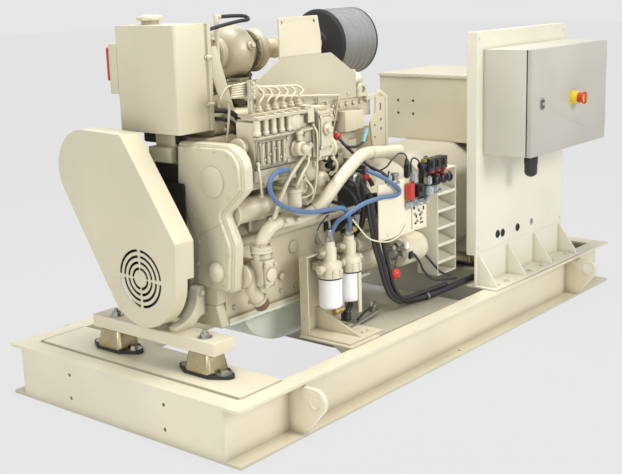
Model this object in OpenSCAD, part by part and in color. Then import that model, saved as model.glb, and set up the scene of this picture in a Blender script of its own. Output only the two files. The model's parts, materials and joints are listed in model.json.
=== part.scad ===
// Marine generator set: a six-cylinder engine and an alternator on a channel skid,
// with a control panel beside the alternator. Millimetres. +X runs from the belt guard
// to the alternator, -Y is the service side, z = 0 is the underside of the skid.

/* [Skid] */
// Length over the cross members
skid_l = 2770; // [2600:10:3000]
// Width over the side beams' flanges
skid_w = 1216; // [1180:4:1280]
// Height of every channel in the skid
skid_h = 203; // [180:1:230]
// Width of the channels' flanges
flange_w = 76; // [70:1:90]
// Thickness of the channels' flanges
flange_t = 11; // [8:0.5:14]
// Thickness of the channels' webs
web_t = 8; // [6:0.5:12]
// Thickness of the plates on the cross members
deck_t = 6; // [5:0.5:10]
// Radius of the holes in the end faces
end_hole_r = 7; // [5:0.5:9]
// Distance across between the holes in the end faces
end_hole_dy = 508; // [440:4:560]
// Distance up between the holes in the end faces
end_hole_dz = 92; // [80:1:100]
// Distance of each lifting lug from the skid's middle
lug_x = 1050; // [980:5:1120]
// Thickness of a lifting lug
lug_t = 20; // [15:1:25]
// Radius of the hole in a lifting lug
lug_hole_r = 30; // [24:1:34]
// Radius of a lifting lug's round end
lug_r = 48; // [42:1:54]

/* [Engine] */
// Height of the crankshaft's axis
crank_z = 533; // [515:1:545]
// Height of the crankcase's underside
pan_z = 330; // [326:1:334]
// Depth of the sump below the crankcase
sump_d = 180; // [140:5:200]
// Length of the crankcase
block_l = 870; // [850:5:880]
// Height of the cylinder head
head_h = 105; // [90:1:115]
// Radius of the belt guard's lower end
guard_r = 180; // [165:1:190]
// Radius of the belt guard's upper end
guard_top_r = 150; // [135:1:160]
// Depth of the belt guard
guard_d = 90; // [70:1:95]
// Thickness of the belt guard's sheet
guard_t = 3; // [2:0.5:5]
// Width of a slot in the belt guard's grille
slot_w = 10; // [6:1:12]
// Radius of the grille's outer slots
grille_r = 108; // [90:1:115]
// Length of the header tank
tank_l = 155; // [140:1:165]
// Width of the header tank
tank_w = 312; // [280:2:330]
// Height of the header tank
tank_h = 379; // [340:1:385]
// Radius of the air filter
filter_r = 142; // [125:1:150]
// Length of the air filter
filter_l = 238; // [220:1:260]
// Radius of the turbocharger's turbine housing
turbo_r = 105; // [95:1:108]
// Radius of the raw-water pipe
pipe_r = 25; // [20:1:27]
// Distance between the injection pump's outlets
outlet_pitch = 43.4; // [40:0.2:45]
// Height of a front mount's cover
mount_h = 69; // [60:1:75]

/* [Fuel filters] */
// Radius of a filter can
can_r = 46; // [40:1:48]
// Height of a filter can
can_h = 123; // [100:1:130]
// Distance between the two cans
can_pitch = 123; // [115:1:130]
// Height of the bracket that carries the filter heads
rack_h = 315; // [300:1:330]

/* [Alternator] */
// Half width across the alternator's flats
frame_r = 254; // [240:1:262]
// Length of the alternator's frame
frame_l = 910; // [880:5:920]
// Width of the terminal box
terminal_w = 580; // [540:5:600]
// Height of the terminal box
terminal_h = 313; // [290:1:330]
// Length of the terminal box
terminal_l = 483; // [450:1:490]

/* [Control panel] */
// Length of the back plate
panel_l = 812; // [780:2:840]
// Height of the back plate's top above the floor
panel_top = 1317; // [1280:1:1360]
// Depth of the back plate's folded edge
panel_fold = 47; // [38:1:50]
// Thickness of the panel's sheet
sheet_t = 3; // [2:0.5:5]
// Length of the control box
box_l = 717; // [690:1:730]
// Height of the control box
box_h = 450; // [420:2:480]
// Depth of the control box without its door
box_d = 205; // [180:1:220]
// Thickness of the control box's door
door_t = 20; // [16:1:22]
// Radius of the switch
knob_r = 27; // [20:1:30]

/* [Hidden] */
$fn = 64;
// Clearances: round pieces that seat on others, and pieces that move
seat = 0.3;
swing = 5;

// Skid
half_l = skid_l / 2;
half_w = skid_w / 2;
rail_y = half_w - flange_w;
deck_z = skid_h + deck_t;
// How far a lug's hole stands out past the flange, and how far its top lies below the skid's
lug_y = half_w + 47;
lug_z = skid_h - 16 - lug_r;
plate_lap = 6;
front_deck = [-half_l + flange_w + 10, -rail_y - plate_lap, -1088, rail_y - 4];
rear_deck = [-250, -rail_y - 3, 60, rail_y + 3];
shelf = [-690, -rail_y - plate_lap, -507, -283];
// The rear deck's strip beside the sump, up to the filters' shelf
strip_y = -185;
rear_mount_x = 620;
rear_mount_y = [-225, 155];
alternator_deck = [rear_mount_x - 100, -rail_y + 95, rear_mount_x + 100, rail_y + 3];
end_support_x = 1010;

// Engine
engine_y = -35;
gear_x = -1040;
gear_t = 40;
block_x0 = gear_x + gear_t;
block_x1 = block_x0 + block_l;
head_z = 900;
skirt_y = -200;
wall_y = -155;
head_y = -140;
injector_x0 = block_x0 + 70;
injector_pitch = 126;
rocker_z = head_z + head_h;
rocker_h = 80;
bell_x1 = 20;
flywheel_r = 240;
guard_x = -1260;
guard_top = [228, 900];
cover_t = 20;
rim_t = 12;
pan_y = [-150, 80];
sump_x = [-520, -275];
beam = [-1225, -350, 290, -1120];
base_t = 12;
beam_z0 = deck_z + base_t + mount_h;
beam_z1 = beam_z0 + 48;
front_mount_x = -1185;
front_mount_y = [-270, 200];
tank_x = -1115;
tank_y = -127;
tank_z = 1033;
cap_x = -1014;
cap_y = 100;
turbo_z = 1290;
turbo_y = 40;
turbo_x = -640;
filter_x = -127;
pump_y = -300;
pump_z = 905;
pump_h = 180;
pump_x1 = -650;
ledge_z = 1088;
outlet_x0 = -907;
outlets = 6;
pipe_y = -325;
sea_pump = [-285, 505];
pipe_end = [-925, -318, 574];
starter = [skirt_y - 62.3, 430, 62];
starter_x = -398;
drain_pump = [-330, 426, 64];

// Fuel filters
rack_x = [-671, -400];
rack_y = -283;
rack_t = 6;
can_x0 = -576;
can_y = -353;
head_top = 433;
hose_z = head_top + 78.5;
can_z = head_top - can_h;

// Alternator
frame_x0 = 190;
waist_r = 222;
frame_x1 = frame_x0 + frame_l;
terminal_x = 611;
terminal_y = -325;
louvre = [112, -400, 283, 260, -295, 748];
plate_x = [-315, 27];
plate_z = [520, 752];
plate_y = -400;

// Control panel
panel_x = 278;
panel_y = -490;
foot_h = 154;
foot_z = skid_h + foot_h;
box_x = 335;
box_z = 793;
box_y = panel_y - box_d;
hinge_r = 6;
lock_x = 428;
knob_x = 718;
knob_z = 1012;
gland = [555, -600, 24];

// Points of a closed outline: a belt pulled round circles [u, v, radius], taken anticlockwise
function lean(a, b) = let (d = [b.x - a.x, b.y - a.y]) atan2(d.y, d.x) - acos((a.z - b.z) / norm(d));
function belt(c, inset = 0, step = 10) = [
    for (i = [0:len(c) - 1])
        let (
            q = c[i],
            a0 = lean(c[(i + len(c) - 1) % len(c)], q),
            a1 = lean(q, c[(i + 1) % len(c)]),
            turn = ((a1 - a0) % 360 + 360) % 360,
            r = max(q.z - inset, 0),
            n = r > 0.01 ? max(1, ceil(turn / step)) : 0
        )
        for (k = [0:n])
            let (a = n == 0 ? a0 : a0 + turn * k / n)
            [q.x + r * cos(a), q.y + r * sin(a)]
];
// Rounded rectangle from its low corner to its high corner
function plate_outline(a, b, r) =
    [[b.x - r, a.y + r, r], [b.x - r, b.y - r, r], [a.x + r, b.y - r, r], [a.x + r, a.y + r, r]];

// Outline with a corner [u, v, radius] at each turn, anticlockwise, rounded inside and out
function corner(p, q, n) =
    let (
        a = unit([p.x - q.x, p.y - q.y]),
        b = unit([n.x - q.x, n.y - q.y]),
        half = acos(a * b) / 2,
        middle = [q.x, q.y] + unit(a + b) * q.z / sin(half),
        first = [q.x, q.y] + a * q.z / tan(half) - middle,
        last = [q.x, q.y] + b * q.z / tan(half) - middle,
        start = atan2(first.y, first.x),
        turn = (atan2(last.y, last.x) - start + 540) % 360 - 180,
        n_steps = max(1, ceil(abs(turn) / 15))
    )
    [for (k = [0:n_steps]) let (t = start + turn * k / n_steps) middle + q.z * [cos(t), sin(t)]];
function before(c, i) = c[(i + len(c) - 1) % len(c)];
function after(c, i) = c[(i + 1) % len(c)];
function rounded(c) = [
    for (i = [0:len(c) - 1])
        each c[i].z < 0.1 ? [[c[i].x, c[i].y]] : corner(before(c, i), c[i], after(c, i))
];
// The same outline drawn in by g, its radii kept concentric
function drawn_in(c, g) = [
    for (i = [0:len(c) - 1])
        let (
            p = before(c, i),
            q = c[i],
            n = after(c, i),
            a = unit([p.x - q.x, p.y - q.y]),
            b = unit([n.x - q.x, n.y - q.y]),
            side = cross([q.x - p.x, q.y - p.y], [n.x - q.x, n.y - q.y]) > 0 ? 1 : -1,
            m = [q.x, q.y] + side * unit(a + b) * g / sin(acos(a * b) / 2)
        )
        [m.x, m.y, max(0, q.z - side * g)]
];

// Smooth curve through the points p, with n steps to a span
function spline(p, n) = [
    for (i = [0:len(p) - 2])
        let (a = p[max(i - 1, 0)], b = p[i], c = p[i + 1], d = p[min(i + 2, len(p) - 1)])
        for (k = [0:n - 1])
            let (t = k / n)
            0.5 * (2 * b + (c - a) * t + (2 * a - 5 * b + 4 * c - d) * t * t
                + (3 * b - a - 3 * c + d) * t * t * t),
    p[len(p) - 1]
];
function unit(v) = v / norm(v);
function square_to(t) = abs(t.z) < 0.9 ? unit(cross(t, [0, 0, 1])) : unit(cross(t, [1, 0, 0]));
function headings(p) = [for (i = [0:len(p) - 1]) unit(p[min(i + 1, len(p) - 1)] - p[max(i - 1, 0)])];

// Round tube swept along the path p, its rings carried without twist
module sweep(p, r, sides = 10) {
    t = headings(p);
    side = [
        for (i = 0, u = square_to(t[0]); i < len(t);
            i = i + 1, u = unit(u - (u * t[min(i, len(t) - 1)]) * t[min(i, len(t) - 1)])) u
    ];
    rings = [
        for (i = [0:len(p) - 1])
            for (k = [0:sides - 1])
                p[i] + r * (cos(360 * k / sides) * side[i] + sin(360 * k / sides) * cross(t[i], side[i]))
    ];
    last = (len(p) - 1) * sides;
    walls = [
        for (i = [0:len(p) - 2])
            for (k = [0:sides - 1])
                [i * sides + k, i * sides + (k + 1) % sides,
                    (i + 1) * sides + (k + 1) % sides, (i + 1) * sides + k]
    ];
    polyhedron(
        rings,
        concat([[for (k = [sides - 1:-1:0]) k]], walls, [[for (k = [0:sides - 1]) last + k]])
    );
}

// Block from its low corner to its high corner
module block(a, b) translate(a) cube(b - a);
// Flat outlines drawn as (y, z), (x, z) and (x, y), and pushed out between two planes
module along_x(x0, x1) translate([x0, 0, 0]) rotate([90, 0, 90]) linear_extrude(x1 - x0) children();
module along_y(y0, y1) translate([0, y1, 0]) rotate([90, 0, 0]) linear_extrude(y1 - y0) children();
module along_z(z0, z1) translate([0, 0, z0]) linear_extrude(z1 - z0) children();
// Round bars between two planes
module rod_x(x0, x1, y, z, r) translate([x0, y, z]) rotate([0, 90, 0]) cylinder(h = x1 - x0, r = r);
module rod_y(y0, y1, x, z, r) translate([x, y1, z]) rotate([90, 0, 0]) cylinder(h = y1 - y0, r = r);
module rod_z(z0, z1, x, y, r) translate([x, y, z0]) cylinder(h = z1 - z0, r = r);
// Round bar between two points
module rod(a, b, r) let (d = b - a)
    translate(a) rotate([0, acos(d.z / norm(d)), atan2(d.y, d.x)]) cylinder(h = norm(d), r = r);
// Turned shape about the X axis through (y, z), from an outline of [radius, x]
module turned_x(y, z, outline) translate([0, y, z]) rotate([0, 90, 0]) rotate_extrude() polygon(outline);
// Hexagon-headed bolt standing on a plane that faces -Y, and one that faces up
module bolt_y(x, y, z, r, h) translate([x, y, z]) rotate([90, 0, 0]) cylinder(h = h, r = r, $fn = 6);
module bolt_z(x, y, z, r, h) translate([x, y, z]) cylinder(h = h, r = r, $fn = 6);
module mirrored(v) {
    children();
    mirror(v) children();
}

module cream(shade = 1) color([0.85 * shade, 0.81 * shade, 0.68 * shade]) children();

// Channel section with its web's back on the v axis and its flanges pointing to +u
module channel_section() {
    difference() {
        square([flange_w, skid_h]);
        translate([web_t, flange_t]) square([flange_w, skid_h - 2 * flange_t]);
    }
}

// ---- Skid ----
flange_hole_r = 7;
module side_beam() difference() {
    along_x(-half_l, half_l) translate([flange_w - half_w, 0]) mirror([1, 0]) channel_section();
    rod_z(-1, flange_t + 1, 0, -half_w + flange_w * 0.4, flange_hole_r);
}
module side_beams() cream() mirrored([0, 1, 0]) side_beam();

module cross_member(x) along_y(-rail_y, rail_y) translate([x, 0]) channel_section();
module end_member() difference() {
    cross_member(-half_l);
    for (i = [-0.5, 0.5], j = [-0.5, 0.5])
        rod_x(-half_l - 1, -half_l + web_t + 1, i * end_hole_dy, skid_h / 2 + j * end_hole_dz, end_hole_r);
}
module end_members() cream(0.95) mirrored([1, 0, 0]) end_member();

// Pairs of channels, toe to toe, under a deck plate
module member_pair(x0, x1) {
    cross_member(x0);
    translate([x1 + x0, 0, 0]) mirror([1, 0, 0]) cross_member(x0);
}
module deck_members() cream(0.9) {
    member_pair(-half_l + flange_w, front_deck[2]);
    member_pair(rear_deck[0], rear_deck[2]);
    member_pair(alternator_deck[0], alternator_deck[2]);
    cross_member(end_support_x);
}

module deck(d) block([d[0], d[1], skid_h], [d[2], d[3], deck_z]);
module deck_plates() cream() {
    deck(front_deck);
    along_z(skid_h, deck_z) polygon([
        [shelf[2] + 2, rear_deck[1]], [rear_deck[2], rear_deck[1]], [rear_deck[2], rear_deck[3]],
        [rear_deck[0], rear_deck[3]], [rear_deck[0], strip_y], [shelf[2] + 2, strip_y]
    ]);
    deck(alternator_deck);
}

// Plate lug across the channel, tapering down to the lower flange's edge
module lug() difference() {
    along_x(lug_x - lug_t / 2, lug_x + lug_t / 2) polygon(belt([
        [-half_w, flange_t + 1, 1], [-rail_y - web_t - 1, flange_t + 1, 1],
        [-rail_y - web_t - 1, lug_z + lug_r - 1, 1], [-lug_y, lug_z, lug_r]
    ]));
    rod_x(lug_x - lug_t, lug_x + lug_t, -lug_y, lug_z, lug_hole_r);
}

module lifting_lugs() cream(0.97) mirrored([1, 0, 0]) mirrored([0, 1, 0]) lug();

// ---- Engine mounts ----
// Rubber mount: a long base with a bolt at each end, and a flared pressed cover
module mount_base(x, y) difference() {
    along_z(deck_z, deck_z + base_t) polygon(belt([[x - 42, y - 58, 12], [x, y - 104, 24],
        [x + 42, y - 58, 12], [x + 42, y + 58, 12], [x, y + 104, 24], [x - 42, y + 58, 12]]));
    for (side = [-1, 1]) rod_z(deck_z - 1, deck_z + base_t + 1, x, y + side * bolt_reach, 7);
}
bolt_reach = 103;
cover_foot = [52, 66, 22];
cover_head = [42, 53, 16];
module cover_slab(x, y, z, s) for (i = [-1, 1], j = [-1, 1])
    translate([x + i * (s.x - s.z), y + j * (s.y - s.z), z]) cylinder(h = 2, r = s.z, $fn = 24);
module mount_cover(p, top) hull() {
    cover_slab(p.x, p.y, deck_z + base_t, cover_foot);
    cover_slab(p.x, p.y, deck_z + base_t + 10, cover_foot);
    cover_slab(p.x, p.y, top - 2, cover_head);
}
rear_foot_z = crank_z - frame_r;
front_mounts = [for (y = front_mount_y) [front_mount_x, y]];
rear_mounts = [for (y = rear_mount_y) [rear_mount_x, y]];
module mount_bases() color("dimgray") for (p = concat(front_mounts, rear_mounts)) mount_base(p.x, p.y);
module mount_covers() color("tan") {
    for (p = front_mounts) mount_cover(p, beam_z0);
    for (p = rear_mounts) mount_cover(p, rear_foot_z);
}

// Rectangular tube across the two front mounts, with closed ends
module front_support_beam() cream() {
    difference() {
        block([beam[0], beam[1], beam_z0], [beam[3], beam[2], beam_z1]);
        block([beam[0] + 5, beam[1] + 6, beam_z0 + 5], [beam[3] - 5, beam[2] - 6, beam_z1 - 5]);
    }
}
// Cast arms sweeping down from bosses on the gear housing to the beam
arm_y = [engine_y - 95, engine_y + 95];
module support_arms() cream(0.96) for (y = arm_y) {
    along_y(y - 20, y + 20) polygon(rounded([
        [gear_x - cover_t, 372, 0], [gear_x - cover_t, 478, 0], [gear_x - cover_t - 34, 478, 16],
        [gear_x - cover_t - 40, 420, 60], [beam[3] - 18, beam_z1 + 34, 70], [beam[0] + 20, beam_z1 + 16, 6],
        [beam[0] + 20, beam_z1, 0], [beam[3] - 2, beam_z1, 0], [gear_x - cover_t - 22, 372, 30]
    ]));
    rod_y(y - 26, y + 26, gear_x - cover_t - 18, 458, 15);
}

// ---- Engine ----
module engine_block() cream(0.9) {
    along_x(block_x0, block_x1) polygon([
        [skirt_y, pan_z], [130, pan_z], [130, 620], [85, 680], [85, head_z], [wall_y, head_z],
        [wall_y, 680], [skirt_y, 620]
    ]);
    // Cylinders' bulges along the service side, with a flat rib between each pair
    for (i = [0:5]) rod_z(690, 880, block_x0 + 95 + i * 132, wall_y, 45);
    for (i = [1:5]) block([block_x0 + 21 + i * 132, wall_y - 34, 640],
        [block_x0 + 37 + i * 132, wall_y, head_z - 10]);
    // Oil gallery, core plugs in the skirt, and the flange over the oil pan
    rod_x(block_x0 + 20, block_x1 - 20, skirt_y, 618, 17);
    for (i = [0:3]) rod_y(skirt_y - 5, skirt_y, block_x0 + 220 + i * 165, 540, 24);
    for (i = [0:2]) rod_y(skirt_y - 12, skirt_y, block_x0 + 140 + i * 165, 440, 14);
    block([block_x0, skirt_y - 14, pan_z], [starter_x - 4, skirt_y, pan_z + 16]);
    block([block_x0, 130, pan_z], [block_x1, 144, pan_z + 16]);
}
module oil_pan() color([0.55, 0.57, 0.52]) {
    block([block_x0, -215, pan_z - rim_t], [block_x1, 145, pan_z]);
    intersection() {
        along_y(pan_y[0], pan_y[1]) polygon(concat(
            [[block_x1 - 10, pan_z - rim_t], [block_x0 + 10, pan_z - rim_t], [block_x0 + 10, pan_z - 30]],
            [for (a = [0:10:90]) [sump_x[0] - 330 * cos(a), pan_z - 30 - (sump_d - 30) * sin(a)]],
            [[sump_x[1], pan_z - sump_d], [sump_x[1], pan_z - 30], [block_x1 - 10, pan_z - 30]]
        ));
        along_x(block_x0, block_x1) polygon(belt(
            plate_outline([pan_y[0], pan_z - sump_d], [pan_y[1], pan_z + 60], 40)
        ));
    }
}
port_ledge = [-470, -178, -60];
module cylinder_head() cream(0.92) {
    block([block_x0 + 15, head_y, head_z], [block_x1 - 15, 70, rocker_z]);
    // Inlet ports' ledge on the service side, with a stepped box under its rear end
    block([port_ledge.x, port_ledge.y, rocker_z - 10], [port_ledge.z, head_y + 15, rocker_z + 73]);
    block([-280, port_ledge.y - 37, 948], [-201, head_y, 1030]);
    block([-201, port_ledge.y - 20, 948], [-134, head_y, 1025]);
    // Injectors' bosses
    for (i = [0:5]) rod_y(head_y - 12, head_y, injector_x0 + i * injector_pitch, 952, 13);
}
module rocker_cover() cream() {
    along_x(tank_rear_x + 3, block_x1 - 25) polygon(belt(
        plate_outline([-115, rocker_z], [50, rocker_z + rocker_h], 22)
    ));
    // Breather pipe, and the fitting where the tank's overflow hose ends
    rod_z(rocker_z + rocker_h - 1, overflow_end.z + 9, -812, overflow_end.y, 9);
    rod_x(-812, overflow_end.x - seat, overflow_end.y, overflow_end.z, 8);
}

// Gear housing and cover share an outline that steps in under the pump's drive
gear_edge = [
    [-308, 462, 28], [-105, 465, 0], [-118, 634, 30], [-31, 832, 20], [-44, 998, 8],
    [-384, 1002, 88], [-384, 846, 16], [-277, 748, 22], [-325, 640, 60]
];
cover_lip = 13;
disc = [-207, 868, 54];
module gear_housing() cream(0.95) {
    along_x(gear_x, gear_x + gear_t) union() {
        polygon(rounded(gear_edge));
        polygon(rounded([[-200, 400, 20], [150, 400, 20], [150, 880, 20], [85, 915, 10],
            [wall_y, 915, 0], [-200, 800, 0]]));
    }
    // Foot over the front of the oil pan
    along_x(gear_x, gear_x + gear_t) polygon(rounded([[-215, pan_z - rim_t, 6], [145, pan_z - rim_t, 6],
        [120, 402, 0], [-190, 402, 0]]));
}
module gear_cover() cream() {
    difference() {
        union() {
            along_x(gear_x - 6, gear_x) polygon(rounded(drawn_in(gear_edge, 4)));
            along_x(gear_x - cover_t, gear_x - 6) polygon(rounded(drawn_in(gear_edge, cover_lip)));
        }
        // Joint line across the cover below the disc
        rod([gear_x - cover_t, -110, 655], [gear_x - cover_t, -290, 735], 1.5);
    }
    // Raised disc over the pump's drive gear, and the accessory drive's domed plug
    turned_x(disc.x, disc.y, [[0, gear_x - cover_t], [0, gear_x - cover_t - 10],
        [disc.z - 6, gear_x - cover_t - 10], [disc.z, gear_x - cover_t - 5], [disc.z, gear_x - cover_t]]);
    turned_x(-204, 539, concat([[0, gear_x - cover_t]],
        [for (a = [0:10:90]) [38 * sin(a), gear_x - cover_t - 26 * cos(a)]]));
    // Front cover round the crankshaft
    along_x(gear_x - cover_t, gear_x) polygon(belt([[60, 480, 60], [60, 800, 50], [-20, 830, 20],
        [-90, 640, 10], [-85, 470, 10]]));
}

// Sheet guard round both pulleys, open behind, with a slotted grille over the crank pulley
guard_circles = [
    [engine_y, crank_z, guard_r], [guard_top.x, guard_top.y, guard_top_r],
    [33, 1025, 19], [-205, 677, 18]
];
module grille_slots() for (ring = [0:3])
    let (r = grille_r - ring * 22)
    for (quarter = [0:3]) rotate([quarter * 90 + 4, 0, 0]) translate([guard_x - 1, 0, 0])
        rotate([0, 90, 0]) rotate_extrude(angle = 82) translate([r - slot_w, 0])
        square([slot_w, guard_t + 2]);
module belt_guard() cream() difference() {
    along_x(guard_x, guard_x + guard_d) polygon(belt(guard_circles));
    along_x(guard_x + guard_t, guard_x + guard_d + 1) polygon(belt(guard_circles, guard_t));
    translate([0, engine_y, crank_z]) grille_slots();
    // The rim is shallower round the crank pulley
    block([guard_x + 58, engine_y - guard_r - 10, crank_z - guard_r - 10],
        [guard_x + guard_d + 1, engine_y + guard_r + 10, crank_z + 12]);
}
// Legs that hold the guard off the gear cover
module guard_brackets() cream(0.9) {
    for (p = [
        [gear_x - cover_t, engine_y + 60, crank_z + 250],
        [guard_x + 150, guard_top.x - 118, guard_top.y + 25]
    ])
        block([guard_x + guard_t, p.y - 12, p.z - 12], [p.x, p.y + 12, p.z + 12]);
}
module pulley(x0, x1, y, z, r) difference() {
    rod_x(x0, x1, y, z, r);
    for (x = [x0 + 8, x0 + 24, x0 + 40]) translate([x, y, z]) rotate([0, 90, 0]) rotate_extrude()
        polygon([[r - 9, 4], [r + 1, 0], [r + 1, 12], [r - 9, 8]]);
    rod_x(x0 - 1, x0 + 12, y, z, r * 0.6);
}
module belt_pulleys() color("dimgray") {
    pulley(guard_x + 20, guard_x + 74, engine_y, crank_z, 120);
    pulley(guard_x + 20, guard_x + 74, guard_top.x, guard_top.y, 85);
    rod_x(guard_x + 74, gear_x - cover_t, engine_y, crank_z, 40);
    // Vibration damper behind the crank pulley
    turned_x(engine_y, crank_z, [[40, guard_x + 92], [128, guard_x + 92], [132, guard_x + 96],
        [132, guard_x + 118], [128, guard_x + 122], [40, guard_x + 122]]);
}
// Water pump and charging alternator behind the guard's upper end
module accessory_drive() cream(0.9) {
    rod_x(guard_x + 74, guard_x + 190, guard_top.x, guard_top.y, 55);
    block([guard_x + 150, guard_top.x - 145, guard_top.y - 50],
        [gear_x, guard_top.x + 30, guard_top.y + 40]);
    // Bracket across the top of the gear housing
    block([gear_x - 34, -30, 922], [gear_x, guard_top.x - 145, 976]);
}

// ---- Coolant tank ----
tank_far = tank_y + tank_w;
tank_x1 = tank_x + tank_l;
tank_rear_x = tank_x1 + 29;
overflow_end = [-790, -36, 1429];
overflow = [
    [-915, -60, 1384], [-908, -60, 1384], [-900, -60, 1384], [-872, -60, 1388], [-798, -60, 1399],
    [-715, -58, 1409], [-662, -52, 1412], [-645, -42, 1417], [-660, -36, 1426], [-715, -36, 1429],
    [-765, -36, 1429], overflow_end
];
tank_top = tank_z + tank_h;
module header_tank() cream() difference() {
    union() {
        along_z(tank_z, tank_top) polygon(belt(plate_outline([tank_x, tank_y], [tank_x1, tank_far], 12)));
        // Joint flange, and the rear shell behind it
        block([tank_x1, tank_y - 6, tank_z], [tank_x1 + 6, tank_far + 6, tank_top]);
        along_z(tank_z, tank_top - 6) polygon(belt(plate_outline([tank_x1 + 6 - 12, tank_y],
            [tank_rear_x, tank_far], 11)));
        rod_z(tank_top, tank_top + 14, cap_x, cap_y, 32);
        // Bosses of the joint's bolts, and the overflow pipe's stub
        for (z = [tank_z + 94, tank_z + 262]) rod_x(tank_x1 - 8, tank_x1 + 16, tank_y, z, 9);
        rod_x(tank_rear_x - 2, overflow[0].x - seat, overflow[0].y, overflow[0].z, 9);
    }
    block([tank_x + 4, tank_y + 8, tank_z + 4], [tank_rear_x - 4, tank_far - 8, tank_top - 10]);
    rod_z(tank_top - 11, tank_top + 15, cap_x, cap_y, 24);
}
module tank_cap() color("silver") {
    translate([cap_x, cap_y, tank_top + 14]) rotate_extrude() polygon([
        [0, 0], [46, 0], [48, 3], [48, 12], [44, 16], [30, 17], [24, 20], [0, 20]
    ]);
    for (a = [30, 210]) translate([cap_x, cap_y, tank_top + 14]) rotate([0, 0, a])
        block([40, -14, 2], [56, 14, 13]);
    rod_z(tank_top, tank_top + 14, cap_x, cap_y, 23.5);
}
module tank_brackets() cream(0.95) {
    block([gear_x, -20, 915], [gear_x + gear_t, 80, tank_z]);
    block([tank_rear_x, tank_y + 30, rocker_z + rocker_h + 2],
        [tank_rear_x + 6, tank_far - 60, tank_top - 60]);
    // Strut from the tank down to the rocker cover's side
    along_y(-121, -115) polygon(rounded([
        [tank_rear_x, 1225, 0], [-880, 1085, 0], [-872, 1042, 8], [-810, 1042, 8],
        [-826, 1100, 30], [-905, 1330, 6], [tank_rear_x, 1330, 0]
    ]));
}
module alarm_box() cream(0.8) block([-1110, tank_far, 1165], [-1040, tank_far + 46, 1347]);
module alarm_plate() color("firebrick") along_y(tank_far + 46, tank_far + 54) polygon(rounded([
    [-1112, 1213, 6], [-1038, 1213, 6], [-1038, 1333, 6], [-1112, 1333, 6]
]));

// ---- Exhaust, intake and air ----
module exhaust_manifold() cream(0.92) {
    along_x(tank_rear_x + 3, block_x1 - 60) polygon(belt(plate_outline([90, 940], [190, 1060], 30)));
    for (i = [0:5]) block([block_x0 + 70 + i * 132, 70, 965], [block_x0 + 120 + i * 132, 90, 1025]);
    for (x = [block_x0 + 260, block_x0 + 525]) along_x(x, x + 24) polygon(belt(
        plate_outline([82, 932], [198, 1068], 24)));
    // Riser up to the turbocharger's foot
    block([turbo_x - 45, 100, 1050], [turbo_x + 25, 165, turbo_z - 142]);
    block([turbo_x - 60, 88, turbo_z - 142], [turbo_x + 40, 177, turbo_z - 130]);
}
// Turbine housing, clamp, bearing housing, compressor and its inlet, all turned about one axis
module turbocharger() cream() {
    turned_x(turbo_y, turbo_z, [
        [0, turbo_x - 130], [56, turbo_x - 130], [62, turbo_x - 125], [62, turbo_x - 98],
        [80, turbo_x - 88], [96, turbo_x - 70], [turbo_r, turbo_x - 42], [turbo_r, turbo_x - 10],
        [98, turbo_x + 14], [84, turbo_x + 30], [60, turbo_x + 38], [60, turbo_x + 44],
        [66, turbo_x + 46], [66, turbo_x + 58], [46, turbo_x + 60], [46, turbo_x + 84],
        [88, turbo_x + 88], [98, turbo_x + 92], [98, turbo_x + 100], [86, turbo_x + 103],
        [100, turbo_x + 112], [106, turbo_x + 126], [103, turbo_x + 142], [90, turbo_x + 154],
        [62, turbo_x + 160], [56, turbo_x + 182], [44, turbo_x + 196], [44, turbo_x + 252],
        [38, turbo_x + 254], [38, filter_x - 10], [0, filter_x - 10]
    ]);
    // Compressor's outlet elbow, actuator boss, oil pipe and the foot on the manifold's riser
    rod_z(rocker_z + rocker_h + 30, turbo_z - 60, turbo_x + 126, turbo_y - 75, 32);
    rod([turbo_x - 20, turbo_y - 96, turbo_z + 24], [turbo_x - 20, turbo_y - 118, turbo_z + 30], 15);
    rod_z(rocker_z + rocker_h, turbo_z - 40, turbo_x + 72, turbo_y, 12);
    block([turbo_x - 60, 88, turbo_z - 130], [turbo_x + 40, 150, turbo_z - 116]);
    block([turbo_x - 40, 92, turbo_z - 116], [turbo_x + 20, 138, turbo_z]);
}
bead_x = [for (i = [1:5]) filter_x + i * (filter_l - 15) / 6];
module air_filter() color("dimgray") turned_x(turbo_y, turbo_z, concat(
    [[0, filter_x - 10], [50, filter_x - 10], [54, filter_x - 4], [filter_r - 10, filter_x - 4],
        [filter_r, filter_x + 2], [filter_r, filter_x + 12], [filter_r - 5, filter_x + 14]],
    [for (x = bead_x) each [[filter_r - 5, x - 4], [filter_r - 1, x - 2], [filter_r - 1, x + 2],
        [filter_r - 5, x + 4]]],
    [[filter_r - 5, filter_x + filter_l - 16], [filter_r, filter_x + filter_l - 14],
        [filter_r, filter_x + filter_l - 3], [filter_r - 8, filter_x + filter_l],
        [0, filter_x + filter_l]]
));
module heat_shield() cream() along_y(-184, -181) polygon(rounded([
        [-775, 1190, 10], [-760, 1150, 10], [-489, 1078, 12], [-160, 1078, 4], [-163, 1175, 10],
        [-323, 1270, 14], [-620, 1270, 14]
    ]));
module intake_manifold() cream(0.97) {
    block([-700, -181, rocker_z + 73], [-160, -115, rocker_z + 185]);
    difference() {
        along_y(-181, -175) polygon(rounded([[-628, rocker_z + 185, 0], [-380, rocker_z + 185, 0],
            [-380, 1340, 0], [-398, 1418, 6], [-628, 1418, 6]]));
        for (x = [-612, -420]) rod_y(-182, -174, x, 1398, 6);
    }
    // Elbow of the charge-air pipe at the rear
    rod([-165, -140, 1120], [-100, -140, 1150], 30);
}
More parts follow.
